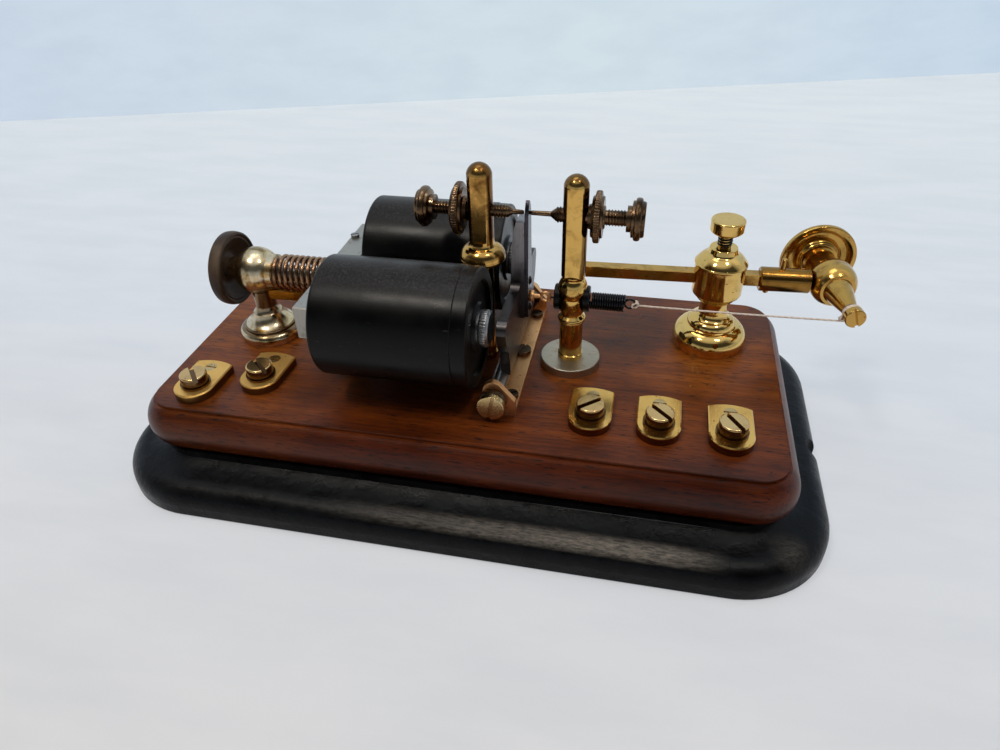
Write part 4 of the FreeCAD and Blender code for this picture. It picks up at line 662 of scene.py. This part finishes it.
# Tension spring: close-wound coil, its tail through the bush and its loop to the thread, and the
# hook's wire that enters the bush from the armature's side.
SPRING_END = 49.0
path, outward = coil((0, 0, PULL_Z), (1, 0, 0), 38.35, SPRING_END, 14, 2.45, per_turn=26)
s = np.linspace(0, 1, 14)[1:-1, None]
tail_end = np.array([28.0, 0.0, PULL_Z])
tail_bend = np.array([37.6, 0.0, PULL_Z])
tail = np.concatenate([tail_end + (tail_bend - tail_end) * s, [tail_bend]])
spring_path = np.concatenate([tail, path])
tail_away = (0.0, 0.35, 0.94)
spring_away = np.concatenate([np.tile(tail_away, (len(tail), 1)), outward])
dress_spring(wire("tension_coil", spring_path, 0.37, spring_away, 8), spring_steel,
             ("base", "tension_arm"),
             ((0.0380, 0.0, PULL_Z / 1000), (SPRING_END / 1000, 0.0, PULL_Z / 1000)), "black_spring",
             "tension_spring")
angle = np.linspace(-2.6, 2.9, 30)
loop = np.stack([50.6 + 1.6 * np.cos(angle), 0 * angle, PULL_Z + 1.6 * np.sin(angle)], -1)
dress(wire("tension_loop", loop, 0.36, np.tile((0.0, 1.0, 0.0), (len(loop), 1)), 8), spring_steel,
      "tension_arm", "black_spring")
reach = np.linspace(25.0, 28.4, 6)
hook = np.stack([reach, 0 * reach, 0 * reach + PULL_Z], -1)
dress(wire("hook_wire", hook, 0.34, np.tile(tail_away, (len(hook), 1)), 8), spring_steel, "armature",
      "black_spring")

# Magnet's spring: round wire between the post's ball and the yoke.
BRONZE_WIRE = 0.7
path, outward = coil((0, 0, COIL_Z), (1, 0, 0), -68.9, YOKE_LEFT - BRONZE_WIRE, 9, 5.6, per_turn=40,
                     phase=-1.3)
dress_spring(wire("magnet_coil", path, BRONZE_WIRE, outward, 14), spring_bronze, ("base", "magnet"),
             ((-0.0682, 0.0, COIL_Z / 1000), ((YOKE_LEFT - 1.4) / 1000, 0.0, COIL_Z / 1000)), "spring",
             "magnet_spring")

# Screws: cut threads on the bare stretches, as start, end, root and crest radius, and milled
# rims, as start, end, radius and count of ridges.
contact = (0, 0, CONTACT_Z)
for name, start, end, root, crest, body in (("left_thread_outer", -10.9, -5.7, 1.7, 2.1, "left_screw"),
                                            ("left_thread_inner", 7.3, 12.0, 1.7, 2.1, "left_screw"),
                                            ("right_thread_inner", 26.4, 28.4, 2.0, 2.45, "right_screw"),
                                            ("right_thread_outer", 41.2, 47.3, 2.0, 2.45, "right_screw")):
    dress(screw_thread(name, contact, (1, 0, 0), start, end, root, crest, 0.9), bronze, body,
          "dark_brass")
for name, start, end, radius, count, body in (("left_screw_milling", -14.9, -13.6, 6.2, 44, "left_screw"),
                                              ("right_screw_milling", 49.9, 51.2, 6.3, 44, "right_screw"),
                                              ("left_nut_milling", -4.3, -2.5, 8.05, 56, "left_nut"),
                                              ("right_nut_milling", 38.0, 39.8, 7.7, 54, "right_nut")):
    dress(milled_rim(name, contact, (1, 0, 0), start, end, radius, 0.32, count), bronze, body,
          "dark_brass")
dress(screw_thread("clamp_thread", (78.4, 21.0, 0.0), (0, 0, 1), 68.6, 73.2, 1.95, 2.4, 0.95), dark_iron,
      "arm_clamp", "dark_brass")
dress(screw_thread("adjuster_thread", (0.0, 0.0, COIL_Z), (1, 0, 0), -68.9, -50.4, 2.35, 2.8, 1.1), steel,
      "magnet_knob", "steel")
for name, side in (("front_pole_milling", -COIL_Y), ("back_pole_milling", COIL_Y)):
    dress(milled_rim(name, (0.0, side, COIL_Z), (1, 0, 0), 7.6, 10.0, 5.75, 0.28, 36), steel, "magnet",
          "soft_iron")


def soft_light(name, place, aim, size, power, colour):
    """A square softbox at a place, facing a point."""
    data = bpy.data.lights.new(name, "AREA")
    data.shape = "RECTANGLE"
    data.size, data.size_y = size
    data.energy = power
    data.color = linear(colour)[:3]
    lamp = bpy.data.objects.new(name, data)
    bpy.context.scene.collection.objects.link(lamp)
    back = np.array(place, float) - np.array(aim, float)
    back /= np.linalg.norm(back)
    side = np.cross((0.0, 0.0, 1.0), back)
    side /= np.linalg.norm(side)
    turned = np.stack([side, np.cross(back, side), back], 1)
    lamp.matrix_world = Matrix([[*row, p] for row, p in zip(turned, place)] + [[0, 0, 0, 1]])
    return lamp


def backdrop(name, corners, axis, tones, own_share, roughness):
    """A plain plane that isn't part of the object: matt paint with a faint brushed grain, its
    tones running along one axis from -0.6 m to 0.6 m. The eye and mirrors see own_share of the
    paint's colour however little light reaches it, and the rest as it is lit and shaded."""
    mesh = bpy.data.meshes.new(name)
    mesh.from_pydata(corners, [], [tuple(range(len(corners)))])
    plane = bpy.data.objects.new(name, mesh)
    bpy.context.scene.collection.objects.link(plane)
    material, tree, place = new_finish(name + "_paint")
    where = add(tree, "ShaderNodeSeparateXYZ", {0: place})
    along = add(tree, "ShaderNodeMapRange",
                {"Value": where.outputs[axis], "From Min": -0.6, "From Max": 0.6})
    tone = add(tree, "ShaderNodeValToRGB", {"Fac": along}, ramp=tones)
    drawn = add(tree, "ShaderNodeMapping", {"Vector": place, "Scale": (0.3, 1.0, 1.0)})
    streaks = add(tree, "ShaderNodeTexNoise",
                  {"Vector": drawn, "Scale": per_mm(20.0), "Detail": 4.0, "Roughness": 0.55})
    marks = add(tree, "ShaderNodeValToRGB", {"Fac": streaks}, ramp=[(0.35, "#f9fafb"), (0.6, "#ffffff")])
    tone = add(tree, "ShaderNodeMix", {"Factor": 1.0, "A": tone, "B": marks}, data_type="RGBA",
               blend_type="MULTIPLY")
    path = add(tree, "ShaderNodeLightPath")
    seen = add(tree, "ShaderNodeMath",
               {0: path.outputs["Is Camera Ray"], 1: path.outputs["Is Glossy Ray"]}, operation="MAXIMUM")
    seen = add(tree, "ShaderNodeMath", {0: seen, 1: path.outputs["Is Transmission Ray"]},
               operation="MAXIMUM")
    share = add(tree, "ShaderNodeMath", {0: seen, 1: own_share}, operation="MULTIPLY")
    lit = add(tree, "ShaderNodeMix",
              {"Factor": share, "A": tone.outputs["Result"], "B": (0.0, 0.0, 0.0, 1.0)}, data_type="RGBA")
    bump = add(tree, "ShaderNodeBump", {"Height": streaks, "Strength": 0.04, "Distance": 0.001})
    plane.data.materials.append(close_finish(material, tree, Base_Color=lit.outputs["Result"],
                                             Roughness=roughness, Emission_Color=tone.outputs["Result"],
                                             Emission_Strength=share, Specular_IOR_Level=0.2,
                                             Normal=bump))
    return plane


# Stage: a pale painted table in front of a pale wall.
left_foot, right_foot = np.array([-0.4758, 0.2977]), np.array([0.3424, 0.5384])
run = (right_foot - left_foot) / np.linalg.norm(right_foot - left_foot)
wall_left, wall_right = left_foot - 2.2 * run, right_foot + 2.2 * run
WALL_HEIGHT = 1.6
backdrop("table", [(-3.0, -2.2, 0), (3.0, -2.2, 0), (*wall_right, 0), (*wall_left, 0)],
         "Y", [(0.30, "#dfdad6"), (0.55, "#e1e6ed"), (0.85, "#ecf3f7")], 0.6, 0.6)
backdrop("wall", [(*wall_left, 0), (*wall_right, 0), (*wall_right, WALL_HEIGHT),
                  (*wall_left, WALL_HEIGHT)], "X",
         [(0.05, "#c9d6e6"), (0.5, "#d2e0e8"), (0.95, "#c0d2e7")], 1.0, 0.9)

# Light: two small ceiling lamps that give the polished metal its pairs of sparks, a soft panel
# behind them, and a pale room whose wall on the viewer's side is dark above its pale lower part.
soft_light("left_lamp", (-0.34, -0.36, 1.05), (0.0, 0.0, 0.05), (0.14, 0.14), 2.7, "#fff8ec")
soft_light("right_lamp", (0.42, -0.20, 1.05), (0.0, 0.0, 0.05), (0.12, 0.12), 1.3, "#fff8ec")
soft_light("back_panel", (-0.15, 0.20, 1.25), (0.0, 0.0, 0.03), (0.60, 0.40), 1.6, "#f6faff")
world = bpy.data.worlds.new("room")
world.use_nodes = True
room = world.node_tree
room.nodes.clear()
direction = add(room, "ShaderNodeSeparateXYZ", {0: add(room, "ShaderNodeTexCoord").outputs["Generated"]})
height = add(room, "ShaderNodeValToRGB", {"Fac": direction.outputs["Z"]},
             ramp=[(0.0, "#b9c3cf"), (0.45, "#cfd8e2"), (0.8, "#e6ebf0")])
depth = add(room, "ShaderNodeMapRange",
            {"Value": direction.outputs["Y"], "From Min": -0.30, "From Max": 0.10})
ceiling = add(room, "ShaderNodeMapRange",
              {"Value": direction.outputs["Z"], "From Min": 0.72, "From Max": 0.88, "To Max": 0.85})
skirting = add(room, "ShaderNodeMapRange",
               {"Value": direction.outputs["Z"], "From Min": 0.34, "From Max": 0.22, "To Max": 0.75})
lit = add(room, "ShaderNodeMath", {0: depth, 1: ceiling}, operation="MAXIMUM")
lit = add(room, "ShaderNodeMath", {0: lit, 1: skirting}, operation="MAXIMUM")
level = add(room, "ShaderNodeMapRange", {"Value": lit, "To Min": 0.07, "To Max": 1.0})
glow = add(room, "ShaderNodeBackground", {"Color": height, "Strength": level})
add(room, "ShaderNodeOutputWorld", {"Surface": glow})
bpy.context.scene.world = world

# Camera.
camera_data = bpy.data.cameras.new("camera")
camera_data.sensor_width = 36.0
camera_data.lens = 25.70
camera = bpy.data.objects.new("camera", camera_data)
bpy.context.scene.collection.objects.link(camera)
right = (0.978131, 0.206426, -0.02547)
above = (-0.104122, 0.591983, 0.799196)
behind = (0.180053, -0.779066, 0.60053)
stand = (0.053432, -0.197889, 0.175365)
camera.matrix_world = Matrix([*zip(right, above, behind, stand), (0, 0, 0, 1)])
bpy.context.scene.camera = camera
bpy.context.scene.view_settings.view_transform = "Standard"
